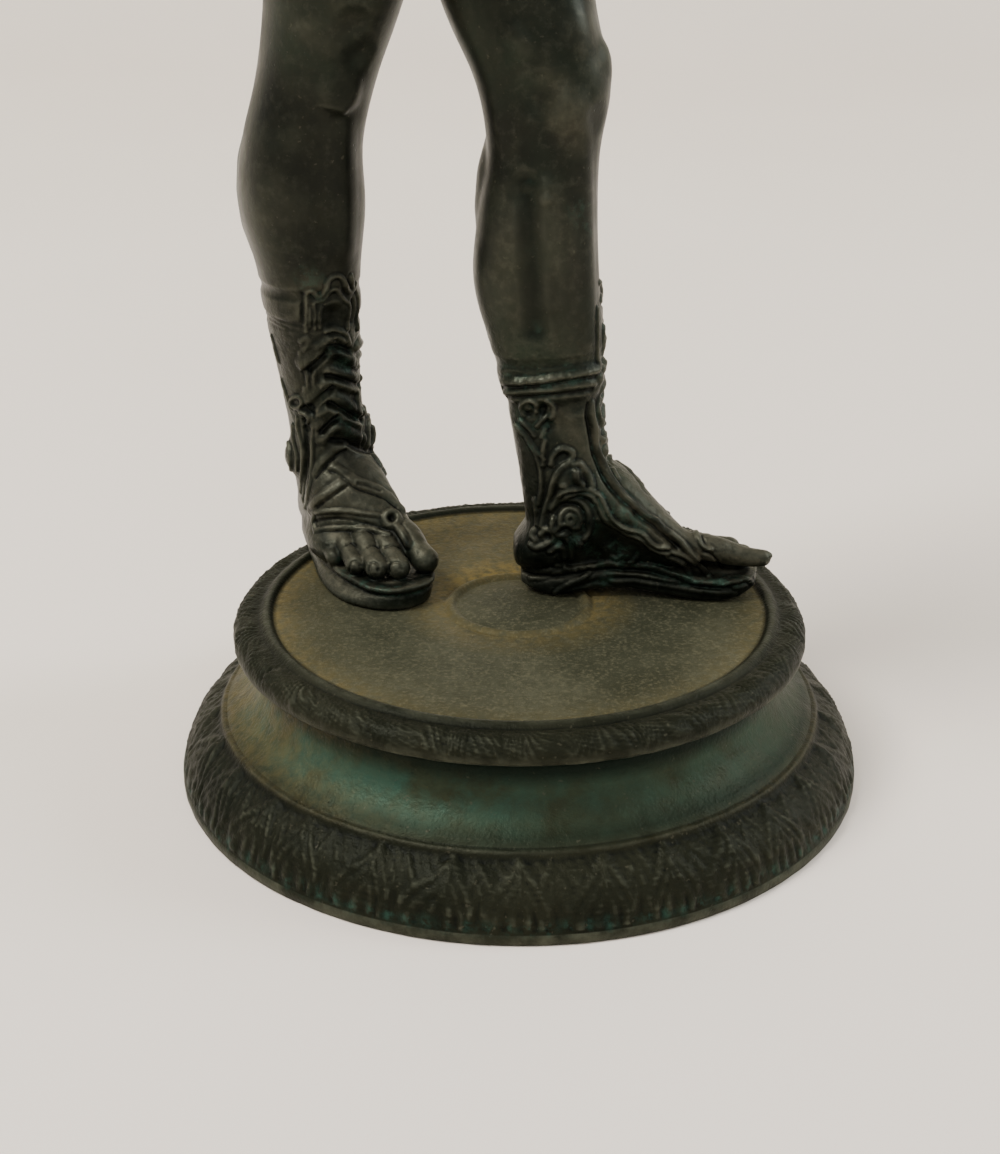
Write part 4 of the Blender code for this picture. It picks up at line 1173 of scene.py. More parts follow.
# %% Sections of the body
TORSO = [
    (150, -18.6, 20.6, 48, 26.0, 15.0),
    (160, -18.8, 20.4, 48, 28.0, 17.6),
    (172, -19.2, 20.4, 48, 28.6, 18.0),
    (184, -19.4, 20.8, 46, 26.8, 16.8),
    (196, -19.0, 21.6, 44, 24.2, 15.4),
    (208, -18.4, 22.4, 42, 22.6, 14.4),
    (220, -18.0, 23.2, 40, 23.6, 14.8),
    (234, -17.8, 24.0, 38, 27.0, 16.4),
    (248, -18.2, 24.2, 36, 31.0, 17.6),
    (258, -18.8, 24.4, 34, 33.4, 16.2),
    (265, -19.2, 24.8, 33, 32.6, 12.8),
    (271, -19.4, 25.0, 32, 24.6, 11.2),
    (278, -19.4, 24.4, 30, 13.6, 10.4),
    (288, -19.8, 22.6, 26, 9.4, 9.8),
    (300, -20.2, 19.8, 20, 9.0, 9.6),
]
# Muscles on the trunk: height, left and front of its axis, half axes
TRUNK_MUSCLES = [
    (247, -12.0, 10.4, (12.8, 8.0, 9.4)),
    (248, 12.0, 10.4, (12.8, 8.0, 9.4)),
    (246, -23.6, -3.0, (6.4, 10.6, 17.0)),
    (246, 23.6, -3.0, (6.4, 10.6, 17.0)),
    (254, -12.4, -10.6, (11.6, 7.0, 12.0)),
    (256, 12.4, -10.6, (11.6, 7.0, 12.0)),
    (269, -13.6, -3.0, (15.0, 7.8, 7.6)),
    (270, 13.6, -3.0, (15.0, 7.8, 7.6)),
    (261, -24.0, -0.6, (13.0, 10.0, 8.6)),
    (262, 24.0, -0.6, (13.0, 10.0, 8.6)),
    (249, -33.2, -0.6, (9.4, 10.2, 15.4)),
    (251, 33.2, -0.8, (9.4, 10.2, 15.4)),
    (222, 0.0, 9.0, (9.6, 6.6, 22.0)),
    (163, -11.6, -9.6, (13.0, 12.0, 14.4)),
    (162, 11.6, -9.6, (13.0, 12.0, 14.4)),
]
# Arms: height, left and front of the chest's axis, half width and half depth
RIGHT_ARM = [
    (253, -31.4, -0.2, 7.6, 8.6),
    (247, -34.0, -0.6, 7.9, 9.2),
    (236, -35.0, -1.6, 7.6, 9.0),
    (220, -34.4, -2.6, 6.6, 7.4),
    (211, -34.6, -2.6, 6.9, 7.2),
    (199, -36.0, 0.0, 6.9, 7.0),
    (184, -38.8, 4.6, 5.4, 5.6),
    (170, -40.6, 9.0, 3.9, 4.5),
]
LEFT_ARM = [
    (255, 31.4, -0.6, 7.6, 8.6),
    (249, 34.4, -2.4, 7.9, 9.2),
    (238, 36.0, -5.0, 7.6, 9.0),
    (222, 35.4, -7.8, 6.6, 7.4),
    (213, 35.0, -7.0, 7.0, 7.2),
    (203, 35.2, 0.4, 6.8, 6.8),
    (193, 34.4, 9.0, 5.4, 5.4),
    (185, 31.0, 17.0, 4.4, 4.0),
]
CHEST_HEIGHT = 248


def arm(bm, rows):
    axis = Axis(TORSO)
    path = [(*axis.point(z, left, front, CHEST_HEIGHT), w, d) for z, left, front, w, d in rows]
    sausage(bm, path, front=facing(axis.at(CHEST_HEIGHT)[1]))


def chest(bm):
    trunk(bm, TORSO, squareness=2.5)
    arm(bm, RIGHT_ARM)
    arm(bm, LEFT_ARM)
    forms(bm, Axis(TORSO), TRUNK_MUSCLES)


# %% Hands
PALM_LENGTH = 14.0
FINGER_GAP = 3.7
FINGER_REACH = (15.0, 17.0, 16.0, 12.6)
# Where the hands start and which way they go: direction of the fingers, of the palm, medial side
RIGHT_HAND = ((0.12, -0.16, -1.0), (0.85, 0.5, 0.0), 1.0)
LEFT_HAND = ((-0.62, -0.72, -0.36), (-0.6, 0.4, -0.2), -1.0)


def hand(bm, wrist, fingers, palm, medial):
    """A relaxed hand: the palm leaves the wrist along fingers and faces along palm."""
    along = Vector(fingers).normalized()
    across = along.cross(Vector(palm)).normalized() * medial
    inward = Vector(palm).normalized()
    start = Vector(wrist)
    knuckles = start + along * PALM_LENGTH
    middle = start + along * 0.5 * PALM_LENGTH
    path = [(*start, 4.6, 3.4), (*middle, 6.6, 3.5), (*knuckles, 7.2, 3.0)]
    sausage(bm, path, front=inward)
    for i, reach in enumerate(FINGER_REACH):
        spread = (1.5 - i) * FINGER_GAP
        base = knuckles + across * spread
        middle = base + along * reach * 0.55 + inward * 2.2 + across * spread * 0.06
        tip = base + along * reach * 0.92 + inward * 6.2
        sausage(bm, [(*base, 2.3, 2.3), (*middle, 2.1, 2.1), (*tip, 1.8, 1.8)], segments=10)
    root = start + along * 5.0 + across * 5.0 + inward * 1.6
    middle = root + along * 7.0 + across * 3.4 + inward * 2.6
    tip = middle + along * 7.0 + inward * 2.0
    sausage(bm, [(*root, 2.9, 2.9), (*middle, 2.6, 2.6), (*tip, 2.1, 2.1)], segments=10)


# %% Head
HEAD_CENTRE = (-20.6, 15.8, 305.0)
HEAD_SCALE = 1.03
HEAD_TURN = 16.0
HEAD_ROLL = -6.0
HEAD_NOD = 18.0
HEAD_PLACE = (
    Matrix.Translation(HEAD_CENTRE)
    @ Matrix.Rotation(math.radians(HEAD_TURN), 4, "Z")
    @ Matrix.Rotation(math.radians(HEAD_ROLL), 4, "Y")
    @ Matrix.Rotation(math.radians(HEAD_NOD), 4, "X")
    @ Matrix.Scale(HEAD_SCALE, 4)
)
# The face in the head's own frame: height, centre, turn, half width and half depth
FACE = [
    (14.0, 0.0, 0.8, 0, 11.4, 12.2),
    (9.0, 0.0, -0.2, 0, 13.2, 15.0),
    (3.0, 0.0, -0.8, 0, 13.6, 15.8),
    (-3.0, 0.0, -1.8, 0, 13.0, 15.4),
    (-9.0, 0.0, -3.6, 0, 11.6, 14.0),
    (-15.0, 0.0, -5.6, 0, 9.2, 11.8),
    (-19.6, 0.0, -8.2, 0, 6.0, 8.6),
]
NOSE = [(0, -15.6, 5.0, 1.5, 1.8), (0, -18.0, 0.0, 1.5, 1.9), (0, -19.8, -4.6, 1.9, 2.0)]
# The chin and the lips: place and half axes
CHIN_AND_LIPS = [
    ((0, -13.8, -17.0), (4.2, 3.4, 3.4)),
    ((0, -16.6, -9.8), (3.3, 1.8, 1.1)),
    ((0, -16.3, -12.0), (2.9, 1.8, 1.2)),
]
CURL_COUNT = 230
CURL_RADII = (2.5, 2.5, 2.3)
GOLDEN_TURN = math.pi * (3.0 - math.sqrt(5.0))


def hair(own):
    """Short curls set in a spiral over the skull, down to the hairline and the nape."""
    for i in range(CURL_COUNT):
        level = 1.0 - 1.75 * (i + 0.5) / CURL_COUNT
        around = i * GOLDEN_TURN
        reach = math.sqrt(1.0 - level * level)
        x, y = reach * math.sin(around), -reach * math.cos(around)
        hairline = 0.36 if y < -0.25 else -0.1 if y < 0.2 else -0.75
        if level < hairline:
            continue
        centre = (x * 14.8, 2.6 + y * 17.0, 5.6 + level * 15.6)
        ball(own, centre, CURL_RADII, segments=8)


def head(bm):
    """The head in its own frame, looking along -Y, then bowed and turned on its neck."""
    own = bmesh.new()
    ball(own, (0, 2.4, 6.0), (14.6, 17.2, 15.6), segments=24)
    trunk(own, FACE, squareness=2.2)
    sausage(own, NOSE)
    for place, radii in CHIN_AND_LIPS:
        ball(own, place, radii)
    for side in (-1.0, 1.0):
        ball(own, (side * 2.0, -17.8, -5.2), (1.4, 1.8, 1.4))
        sausage(own, [(side * 2.4, -15.9, 5.4, 1.1, 1.5), (side * 10.4, -12.4, 5.4, 1.1, 1.3)])
        ball(own, (side * 5.7, -14.6, 1.6), (2.9, 1.9, 1.7))
        ball(own, (side * 7.4, -10.4, -4.6), (4.4, 4.4, 4.2))
        ball(own, (side * 13.8, 2.0, 0.4), (1.7, 3.4, 5.0), tilt=-12)
    hair(own)
    own.transform(HEAD_PLACE)
    copy = bpy.data.meshes.new("head")
    own.to_mesh(copy)
    own.free()
    bm.from_mesh(copy)


# %% Model the upper body
BODY_VOXEL = 0.8
BODY_SOFTENING = 18
DETAIL_VOXEL = 0.42
BODY_TRIANGLES = 185000


def hands(bm):
    for rows, directions in ((RIGHT_ARM, RIGHT_HAND), (LEFT_ARM, LEFT_HAND)):
        hand(bm, Axis(TORSO).point(*rows[-1][:3], CHEST_HEIGHT), *directions)


# Hollows and swells of the trunk, laid on both sides: height and place to the left; radius, rise
BODY_LINES = [
    ([(262, 0), (240, 0), (215, 0), (198, 0)], 3.0, -0.7),
    ([(268, 3), (266, 12), (266, 24)], 2.2, 0.7),
    ([(264, 4), (262, 12), (261, 22)], 2.4, -0.5),
    ([(236, 2), (234, 10), (237, 20), (245, 27)], 3.0, -0.9),
    ([(233, 2), (228, 9), (219, 15), (210, 17)], 2.8, -0.6),
    ([(222, 2), (221, 9)], 2.2, -0.4),
    ([(211, 2), (210, 8)], 2.2, -0.4),
    ([(228, 13), (214, 12), (200, 11)], 2.6, -0.5),
    ([(203, 0), (202.4, 0)], 1.8, -0.9),
    ([(243, 17.5), (242.6, 17.5)], 1.5, 0.5),
]
# The face, laid on both sides in the head's own frame: place or line, radius and rise
FACE_DABS = [
    ((5.6, -16.2, 2.0), 4.4, -1.5),
    ((5.6, -15.2, 1.6), 2.6, 1.0),
    ((0.6, -17.6, -7.4), 1.5, -0.35),
    ((4.4, -15.6, -11.0), 1.5, -0.5),
    ((0.0, -16.6, -14.2), 2.2, -0.35),
]
FACE_STROKES = [
    ([(1.8, -17.0, 5.0), (5.0, -16.6, 6.2), (8.6, -14.8, 5.8), (11.0, -12.6, 4.0)], 1.7, 0.45),
    ([(2.9, -16.0, 0.8), (5.6, -16.2, -0.1), (8.4, -14.8, 0.9)], 0.9, -0.4),
    ([(0.0, -18.0, -10.9), (2.0, -17.6, -10.9), (4.0, -16.4, -10.7)], 0.8, -0.45),
]


def from_front(skin, rows):
    """Places of the trunk's front found by rays from before it."""
    axis = Axis(TORSO)
    path = []
    for height, left in rows:
        start = axis.point(height, left, 60.0)
        hit = skin.tree.ray_cast(start, -facing(axis.at(height)[1]))[0]
        if hit is not None:
            path.append(hit)
    return np.array(path)


def body_clay():
    smooth = fused(clay(chest), BODY_VOXEL, BODY_SOFTENING)
    skin = Skin(smooth)
    for side in (-1.0, 1.0):
        for rows, radius, rise in BODY_LINES:
            skin.stroke(from_front(skin, [(z, side * left) for z, left in rows]), radius, rise)
    whole = Skin(fused(clay(hands, head, onto=skin.set_back()), DETAIL_VOXEL, 2))
    for side in (-1.0, 1.0):
        for (x, y, z), radius, rise in FACE_DABS:
            whole.press(HEAD_PLACE @ Vector((side * x, y, z)), radius, rise)
        for spots, radius, rise in FACE_STROKES:
            line = [HEAD_PLACE @ Vector((side * x, y, z)) for x, y, z in spots]
            path = [whole.tree.find_nearest(spot)[0] for spot in line]
            whole.stroke(np.array(path), radius, rise)
    return whole.set_back()


body_mesh = thinned(body_clay(), BODY_TRIANGLES)
print("body corners", len(body_mesh.vertices))

# %% [markdown]
# ## Hip cloth
#
# The cloth is cast with the figure, so it is a carved form and not a soft sheet. A loft round the
# hips is pushed out in slanting folds that grow towards the hem, and a rolled edge is tied in a
# knot on the left hip.

# %% Cloth
HIP_CLOTH = [
    (136, -17.8, 20.4, 50, 31.0, 24.0),
    (148, -18.0, 20.6, 50, 32.0, 23.6),
    (160, -18.6, 20.8, 49, 32.6, 23.0),
    (172, -19.0, 20.8, 48, 32.0, 22.0),
    (184, -19.2, 21.0, 46, 29.4, 19.8),
    (194, -19.0, 21.4, 44, 26.8, 18.0),
]
FOLD_COUNT = 13
FOLD_DEPTH = 3.0
FOLD_DRIFT = 1.1
HEM_SWAY = 2.4
WAIST_CENTRE = (-19.0, 21.4)
WAIST_TURN = 44.0
ROLL_HEIGHT = 195.0
ROLL_HALF_WIDTH = 26.6
ROLL_HALF_DEPTH = 17.8
ROLL_RADII = (3.0, 2.7)
KNOT_HEIGHT = 191.0
KNOT_RADII = (4.6, 4.4, 4.2)
# The two short ends of the knot: how far each spreads and hangs down
KNOT_ENDS = [(-4.0, 30.0), (3.0, 24.0)]
CLOTH_VOXEL = 0.55
CLOTH_TRIANGLES = 170000


def fold(around, drop):
    """How far a fold stands out, from 0 to 1: sharp ridges that slant round the hips."""
    slant = around * FOLD_COUNT + drop * FOLD_DRIFT * math.pi
    wave = 0.5 + 0.5 * math.sin(slant + 0.9 * math.sin(around * 3.0 + drop * 2.0))
    return wave**1.5


def hip_cloth(bm, segments=132, steps=3):
    rings = []
    rows = smooth_rows(HIP_CLOTH, steps)
    top, bottom = rows[-1][0], rows[0][0]
    for z, x, y, turn, width, depth in rows:
        drop = (top - z) / (top - bottom)
        centre = Vector((x, y, z))
        made = ring(bm, centre, leftward(turn) * width, facing(turn) * depth, 2.3, segments)
        for vert in {vert for edge in made for vert in edge.verts}:
            out = vert.co - centre
            around = math.atan2(out.y, out.x)
            rise = FOLD_DEPTH * (0.25 + 0.75 * drop) * fold(around, drop)
            vert.co += out.normalized() * (rise - 1.0)
            vert.co.z += HEM_SWAY * math.sin(around * 2.0 + 0.6) * drop
        rings.append(made)
    loft(bm, rings)


def roll_and_knot(bm):
    """The cloth's rolled upper edge, tied in a knot on the left hip with two short ends."""
    around = np.linspace(0.0, 2.0 * math.pi, 41)[:-1]
    left, front = leftward(WAIST_TURN), facing(WAIST_TURN)
    path = []
    for angle in list(around) + [around[0], around[1]]:
        side = left * (ROLL_HALF_WIDTH * math.cos(angle))
        deep = front * (ROLL_HALF_DEPTH * math.sin(angle))
        rise = ROLL_HEIGHT - 3.0 * math.cos(angle) + 0.8 * math.sin(angle * 9.0)
        centre = Vector((*WAIST_CENTRE, rise)) + side + deep
        path.append((*centre, *ROLL_RADII))
    sausage(bm, path, segments=10, steps=1)
    knot = Vector((*WAIST_CENTRE, KNOT_HEIGHT)) + left * 25.0 + front * 10.0
    ball(bm, knot, KNOT_RADII, WAIST_TURN)
    for spread, drop in KNOT_ENDS:
        end = knot + left * (spread + 3.0) + front * 1.5
        end.z -= drop
        middle = (knot + end) / 2.0 + left * 1.6
        sausage(bm, [(*knot, 2.4, 2.2), (*middle, 4.0, 2.0), (*end, 5.2, 1.8)])


cloth_mesh = thinned(fused(clay(hip_cloth, roll_and_knot), CLOTH_VOXEL, 3), CLOTH_TRIANGLES)
print("cloth corners", len(cloth_mesh.vertices))

# %% [markdown]
# ## Bronze
#
# Old bronze isn't one colour. The raised parts are rubbed brown-grey, the hollows hold dark dirt
# and blue-green salts, and dust settles on level places. The mesh itself knows where its hollows
# are: comparing each corner with the average of its neighbours, many times over, gives a number
# that is stored as an attribute, and the material mixes its colours by it.

# %% Hollows
def hollow_field(mesh, rounds):
    """How deep each corner lies below its surroundings; raised parts are negative."""
    count = len(mesh.vertices)
    spots = corners(mesh, "co")
    ends = np.empty(len(mesh.edges) * 2, int)
    mesh.edges.foreach_get("vertices", ends)
    a, b = ends.reshape(-1, 2).T
    links = np.maximum(np.bincount(a, minlength=count) + np.bincount(b, minlength=count), 1)
    soft = spots.copy()
    for round_number in range(rounds):
        for i in range(3):
            total = np.bincount(a, soft[b, i], count) + np.bincount(b, soft[a, i], count)
            soft[:, i] = 0.5 * soft[:, i] + 0.5 * total / links
    return np.einsum("ij,ij->i", soft - spots, corners(mesh, "normal"))


def store(mesh, name, values):
    layer = mesh.attributes.new(name, "FLOAT", "POINT")
    layer.data.foreach_set("value", np.asarray(values, np.float32))


# %% Node helpers
class Nodes:
    """Builds a material's nodes with short calls."""

    def __init__(self, name):
        self.material = bpy.data.materials.new(name)
        self.material.use_nodes = True
        self.tree = self.material.node_tree
        self.shader = self.tree.nodes["Principled BSDF"]

    def new(self, kind, **inputs):
        node = self.tree.nodes.new(kind)
        for key, value in inputs.items():
            self.feed(node.inputs[key.replace("_", " ")], value)
        return node

    def feed(self, socket, value):
        if isinstance(value, bpy.types.NodeSocket):
            self.tree.links.new(value, socket)
        else:
            socket.default_value = value

    def place(self):
        return self.new("ShaderNodeTexCoord").outputs["Object"]

    def noise(self, scale, detail=4.0, roughness=0.55, vector=None, distortion=0.0):
        node = self.new(
            "ShaderNodeTexNoise", Scale=scale, Detail=detail, Roughness=roughness,
            Distortion=distortion, Vector=vector or self.place(),
        )
        return node.outputs["Fac"]

    def attribute(self, name):
        node = self.tree.nodes.new("ShaderNodeAttribute")
        node.attribute_name = name
        return node.outputs["Fac"]

    def span(self, value, low, high, to_low=0.0, to_high=1.0):
        node = self.new("ShaderNodeMapRange")
        node.clamp = True
        for key, number in (("Value", value), ("From Min", low), ("From Max", high)):
            self.feed(node.inputs[key], number)
        for key, number in (("To Min", to_low), ("To Max", to_high)):
            self.feed(node.inputs[key], number)
        return node.outputs["Result"]

    def maths(self, operation, a, b=0.0):
        node = self.tree.nodes.new("ShaderNodeMath")
        node.operation = operation
        self.feed(node.inputs[0], a)
        self.feed(node.inputs[1], b)
        return node.outputs["Value"]

    def mix(self, share, a, b):
        node = self.tree.nodes.new("ShaderNodeMix")
        node.data_type = "RGBA"
        self.feed(node.inputs["Factor"], share)
        for key, colour in ((6, a), (7, b)):
            self.feed(node.inputs[key], colour if hasattr(colour, "node") else (*colour, 1.0))
        return node.outputs[2]

    def pits(self, scale, size):
        node = self.new("ShaderNodeTexVoronoi", Scale=scale, Vector=self.place())
        return self.span(node.outputs["Distance"], 0.0, size, 1.0, 0.0)


# %% Where the patina, painted shade and painted highlights lie on the legs and boots
# Lines in the photo's pixels, and how far from them each mark reaches, in millimetres
# Dark stains, with painted shade in grooves, hollows and dents, under the toes and along the soles'
# lower edges
DARK_STAINS_AND_PAINTED_SHADE = [
    ([(520, 545), (530, 562), (548, 560), (562, 560)], 5.5, 1.0),
    ([(566, 540), (590, 545), (612, 550), (640, 560), (668, 566)], 4.2, 1.0),
    ([(584, 520), (600, 530), (618, 545)], 2.6, 1.0),
    ([(560, 470), (575, 480), (582, 500)], 2.4, 0.7),
    ([(525, 420), (531, 450), (536, 490), (535, 520)], 3.0, 0.6),
    ([(540, 410), (552, 440), (560, 455)], 2.0, 0.6),
    ([(530, 592), (570, 588), (610, 578), (660, 582), (720, 590), (750, 588)], 4.0, 0.9),
    ([(690, 574), (720, 578), (750, 572)], 2.0, 0.9),
    ([(600, 448), (612, 476), (640, 505), (668, 530)], 0.9, 0.8),
    ([(332, 350), (345, 362), (352, 372)], 2.4, 0.9),
    ([(340, 376), (352, 382)], 1.6, 0.8),
    ([(345, 402), (356, 412)], 1.8, 0.9),
    ([(340, 420), (352, 430), (362, 440)], 2.0, 0.8),
    ([(322, 310), (332, 318), (344, 316)], 2.6, 0.6),
    ([(306, 420), (307, 432), (305, 446)], 1.0, 1.0),
    ([(309, 405), (313, 412)], 1.0, 1.0),
    ([(352, 572), (372, 582), (394, 586), (420, 578), (432, 574)], 1.6, 1.0),
    ([(345, 578), (372, 592), (400, 597), (430, 590)], 2.2, 0.8),
    ([(322, 532), (328, 545), (340, 556)], 1.4, 0.8),
    ([(406, 538), (409, 556), (411, 572)], 0.9, 1.0),
    ([(492, 366), (540, 370), (600, 366)], 1.0, 0.5),
    ([(540, 300), (570, 310), (590, 330)], 7.0, 0.35),
    ([(526, 186), (530, 230), (533, 280), (536, 325)], 3.6, 0.55),
    ([(480, 10), (492, 60), (500, 100)], 5.0, 0.4),
    ([(594, 112), (592, 150)], 3.0, 0.4),
    ([(346, 60), (350, 110), (348, 180), (346, 250)], 5.0, 0.5),
    ([(300, 60), (298, 120), (300, 200), (306, 260)], 7.0, 0.35),
]
TEAL_STAINS = [
    ([(556, 540), (580, 546), (600, 553)], 2.0, 0.5),
    ([(600, 560), (640, 566), (690, 580), (720, 576)], 2.0, 0.55),
    ([(700, 584), (720, 582), (745, 580)], 2.2, 0.7),
    ([(575, 600), (600, 585), (615, 570)], 1.6, 0.4),
    ([(578, 540), (582, 547)], 1.6, 0.9),
    ([(618, 508), (630, 516), (640, 520)], 3.2, 0.55),
    ([(614, 545), (622, 552), (632, 552)], 1.6, 0.6),
    ([(550, 400), (553, 418), (544, 434)], 1.2, 0.5),
    ([(520, 415), (522, 436), (534, 452)], 1.4, 0.4),
    ([(500, 389), (540, 387), (590, 381)], 1.0, 0.5),
    ([(602, 400), (600, 425)], 1.6, 0.35),
    ([(336, 354), (346, 364)], 2.2, 0.5),
    ([(342, 404), (354, 416)], 1.8, 0.4),
    ([(340, 424), (354, 434)], 2.0, 0.45),
    ([(310, 288), (318, 292)], 2.6, 0.45),
    ([(340, 562), (348, 574), (362, 582), (384, 588), (404, 584)], 1.4, 0.7),
    ([(306, 276), (316, 284)], 3.0, 0.3),
    ([(580, 210), (592, 220), (602, 214)], 3.4, 0.35),
]
# Dust, and painted highlights on the bare legs, the instep and the toes
DUST_AND_PAINTED_HIGHLIGHTS = [
    ([(598, 436), (606, 462), (618, 492), (640, 516), (668, 538)], 2.0, 1.0),
    ([(560, 420), (578, 440), (588, 460)], 3.0, 0.5),
    ([(312, 283), (318, 290)], 2.8, 0.6),
    ([(690, 555), (720, 560), (755, 557)], 2.0, 0.7),
    ([(324, 500), (350, 500), (372, 500)], 5.0, 0.5),
    ([(335, 535), (360, 535), (395, 545), (420, 550)], 3.0, 0.3),
    ([(560, 96), (572, 118), (580, 132)], 5.5, 0.45),
    ([(508, 200), (510, 250), (514, 300)], 4.5, 0.3),
    ([(552, 210), (562, 270), (570, 340)], 5.0, 0.3),
    ([(590, 30), (596, 60)], 4.5, 0.3),
]


def marks_near_lines(mesh, lines):
    """How strongly each corner is marked by the given lines, from 0 to 1."""
    skin = Skin(mesh)
    amount = np.zeros(len(mesh.vertices))
    for spots, reach, strength in lines:
        path = skin.cast(spots)
        if len(path) > 1:
            chosen, gap = skin.near(path, reach)
            soft = strength * (1.0 - (gap / reach) ** 2)
            amount[chosen] = np.maximum(amount[chosen], soft)
    return amount


def dust_above(mesh):
    """Dust lies on places that face upwards, most of all low on the feet."""
    skin = Skin(mesh)
    level = np.clip((skin.normals[:, 2] - 0.25) / 0.6, 0.0, 1.0)
    low = np.clip((34.0 - skin.points[:, 2]) / 22.0, 0.15, 1.0)
    return level * low


# %% Mix the bronze
DARK_BRONZE = (0.012, 0.0135, 0.0095)
WARM_BRONZE = (0.028, 0.0295, 0.019)
RUBBED_BRONZE = (0.072, 0.074, 0.054)
GREEN_BRONZE = (0.019, 0.026, 0.0165)
DEEP_DIRT = (0.002, 0.003, 0.002)
# Colour of the dark stains, also used as painted shade
STAIN_AND_PAINTED_SHADE = (0.0015, 0.0036, 0.0020)
SALTS = (0.030, 0.066, 0.048)
# Colour of the dust, also used as painted highlight on the legs
DUST_AND_PAINTED_HIGHLIGHT = (0.088, 0.082, 0.056)


def bronze():
    """A dark bronze, rubbed where it is raised and dirty where it is sunk."""
    n = Nodes("figure_bronze")
    hollow = n.attribute("hollow")
    patches = n.noise(42.0, 5.0)
    cloud = n.noise(190.0, 5.0, 0.6)
    grain = n.noise(1500.0, 3.0)
    mottle = n.noise(520.0, 4.0, 0.65)
    colour = n.mix(n.span(patches, 0.38, 0.64), DARK_BRONZE, GREEN_BRONZE)
    colour = n.mix(n.span(cloud, 0.42, 0.7, 0.0, 0.5), colour, WARM_BRONZE)
    colour = n.mix(n.span(mottle, 0.5, 0.72, 0.0, 0.25), colour, RUBBED_BRONZE)
    # Dust, and painted highlights laid along lines on the legs
    dusty_and_highlit = n.maths("MULTIPLY", n.attribute("dust_and_painted_highlight"), n.span(mottle, 0.3, 0.65, 0.2, 0.75))
    colour = n.mix(dusty_and_highlit, colour, DUST_AND_PAINTED_HIGHLIGHT)
    raised = n.maths("MULTIPLY", n.span(hollow, -0.015, -0.2), n.span(cloud, 0.3, 0.66, 0.3, 0.9))
    colour = n.mix(raised, colour, RUBBED_BRONZE)
    sunk = n.span(hollow, 0.015, 0.16)
    colour = n.mix(n.maths("MULTIPLY", sunk, 0.9), colour, DEEP_DIRT)
    # Dark stains, and painted shade laid along lines on the legs and boots
    stained_and_shaded = n.maths("MULTIPLY", n.attribute("stain_and_painted_shade"), n.span(mottle, 0.3, 0.6, 0.55, 1.0))
    colour = n.mix(stained_and_shaded, colour, STAIN_AND_PAINTED_SHADE)
    salty = n.maths("MULTIPLY", n.span(hollow, -0.01, 0.12), n.span(patches, 0.5, 0.6, 0.0, 0.6))
    salty = n.maths("MAXIMUM", salty, n.attribute("salts"))
    salty = n.maths("MULTIPLY", salty, n.span(n.noise(430.0, 6.0, 0.72), 0.47, 0.6))
    colour = n.mix(salty, colour, SALTS)
    specks = n.span(n.noise(900.0, 2.0), 0.68, 0.75, 0.0, 0.3)
    colour = n.mix(specks, colour, DUST_AND_PAINTED_HIGHLIGHT)
    n.feed(n.shader.inputs["Base Color"], colour)
    n.shader.inputs["Metallic"].default_value = 0.6
    n.shader.inputs["Specular IOR Level"].default_value = 0.2
    rough = n.maths("ADD", n.span(cloud, 0.3, 0.7, 0.34, 0.46), n.maths("MULTIPLY", dusty_and_highlit, 0.25))
    n.feed(n.shader.inputs["Roughness"], rough)
    boot = n.attribute("boot")
    bumps = n.maths("ADD", n.maths("MULTIPLY", grain, 0.6), n.maths("MULTIPLY", mottle, 0.8))
    bumps = n.maths("MULTIPLY", bumps, n.span(boot, 0.0, 1.0, 0.35, 1.8))
    bumps = n.maths("SUBTRACT", bumps, n.maths("MULTIPLY", n.pits(420.0, 0.1), 0.5))
    bump = n.new("ShaderNodeBump", Height=bumps, Strength=0.5, Distance=0.00022)
    n.feed(n.shader.inputs["Normal"], bump.outputs["Normal"])
    return n.material


# %% Mix the plinth's bronze
OCHRE = (0.17, 0.125, 0.04)
DISC_DARK = (0.030, 0.032, 0.0185)
DISC_PALE = (0.068, 0.068, 0.042)
DISC_GRAIN = (0.12, 0.112, 0.068)
BAND_DARK = (0.0060, 0.0075, 0.0036)
BAND_PALE = (0.0150, 0.0160, 0.0085)
BAND_RUBBED = (0.062, 0.066, 0.045)
COVE_OLIVE = (0.026, 0.031, 0.0165)
COVE_GREEN = (0.034, 0.050, 0.030)
COVE_TEAL = (0.026, 0.080, 0.060)
# Colour of the painted shade under the rim and at the cove's foot
UNDER_RIM_SHADE = (0.0005, 0.0050, 0.0028)


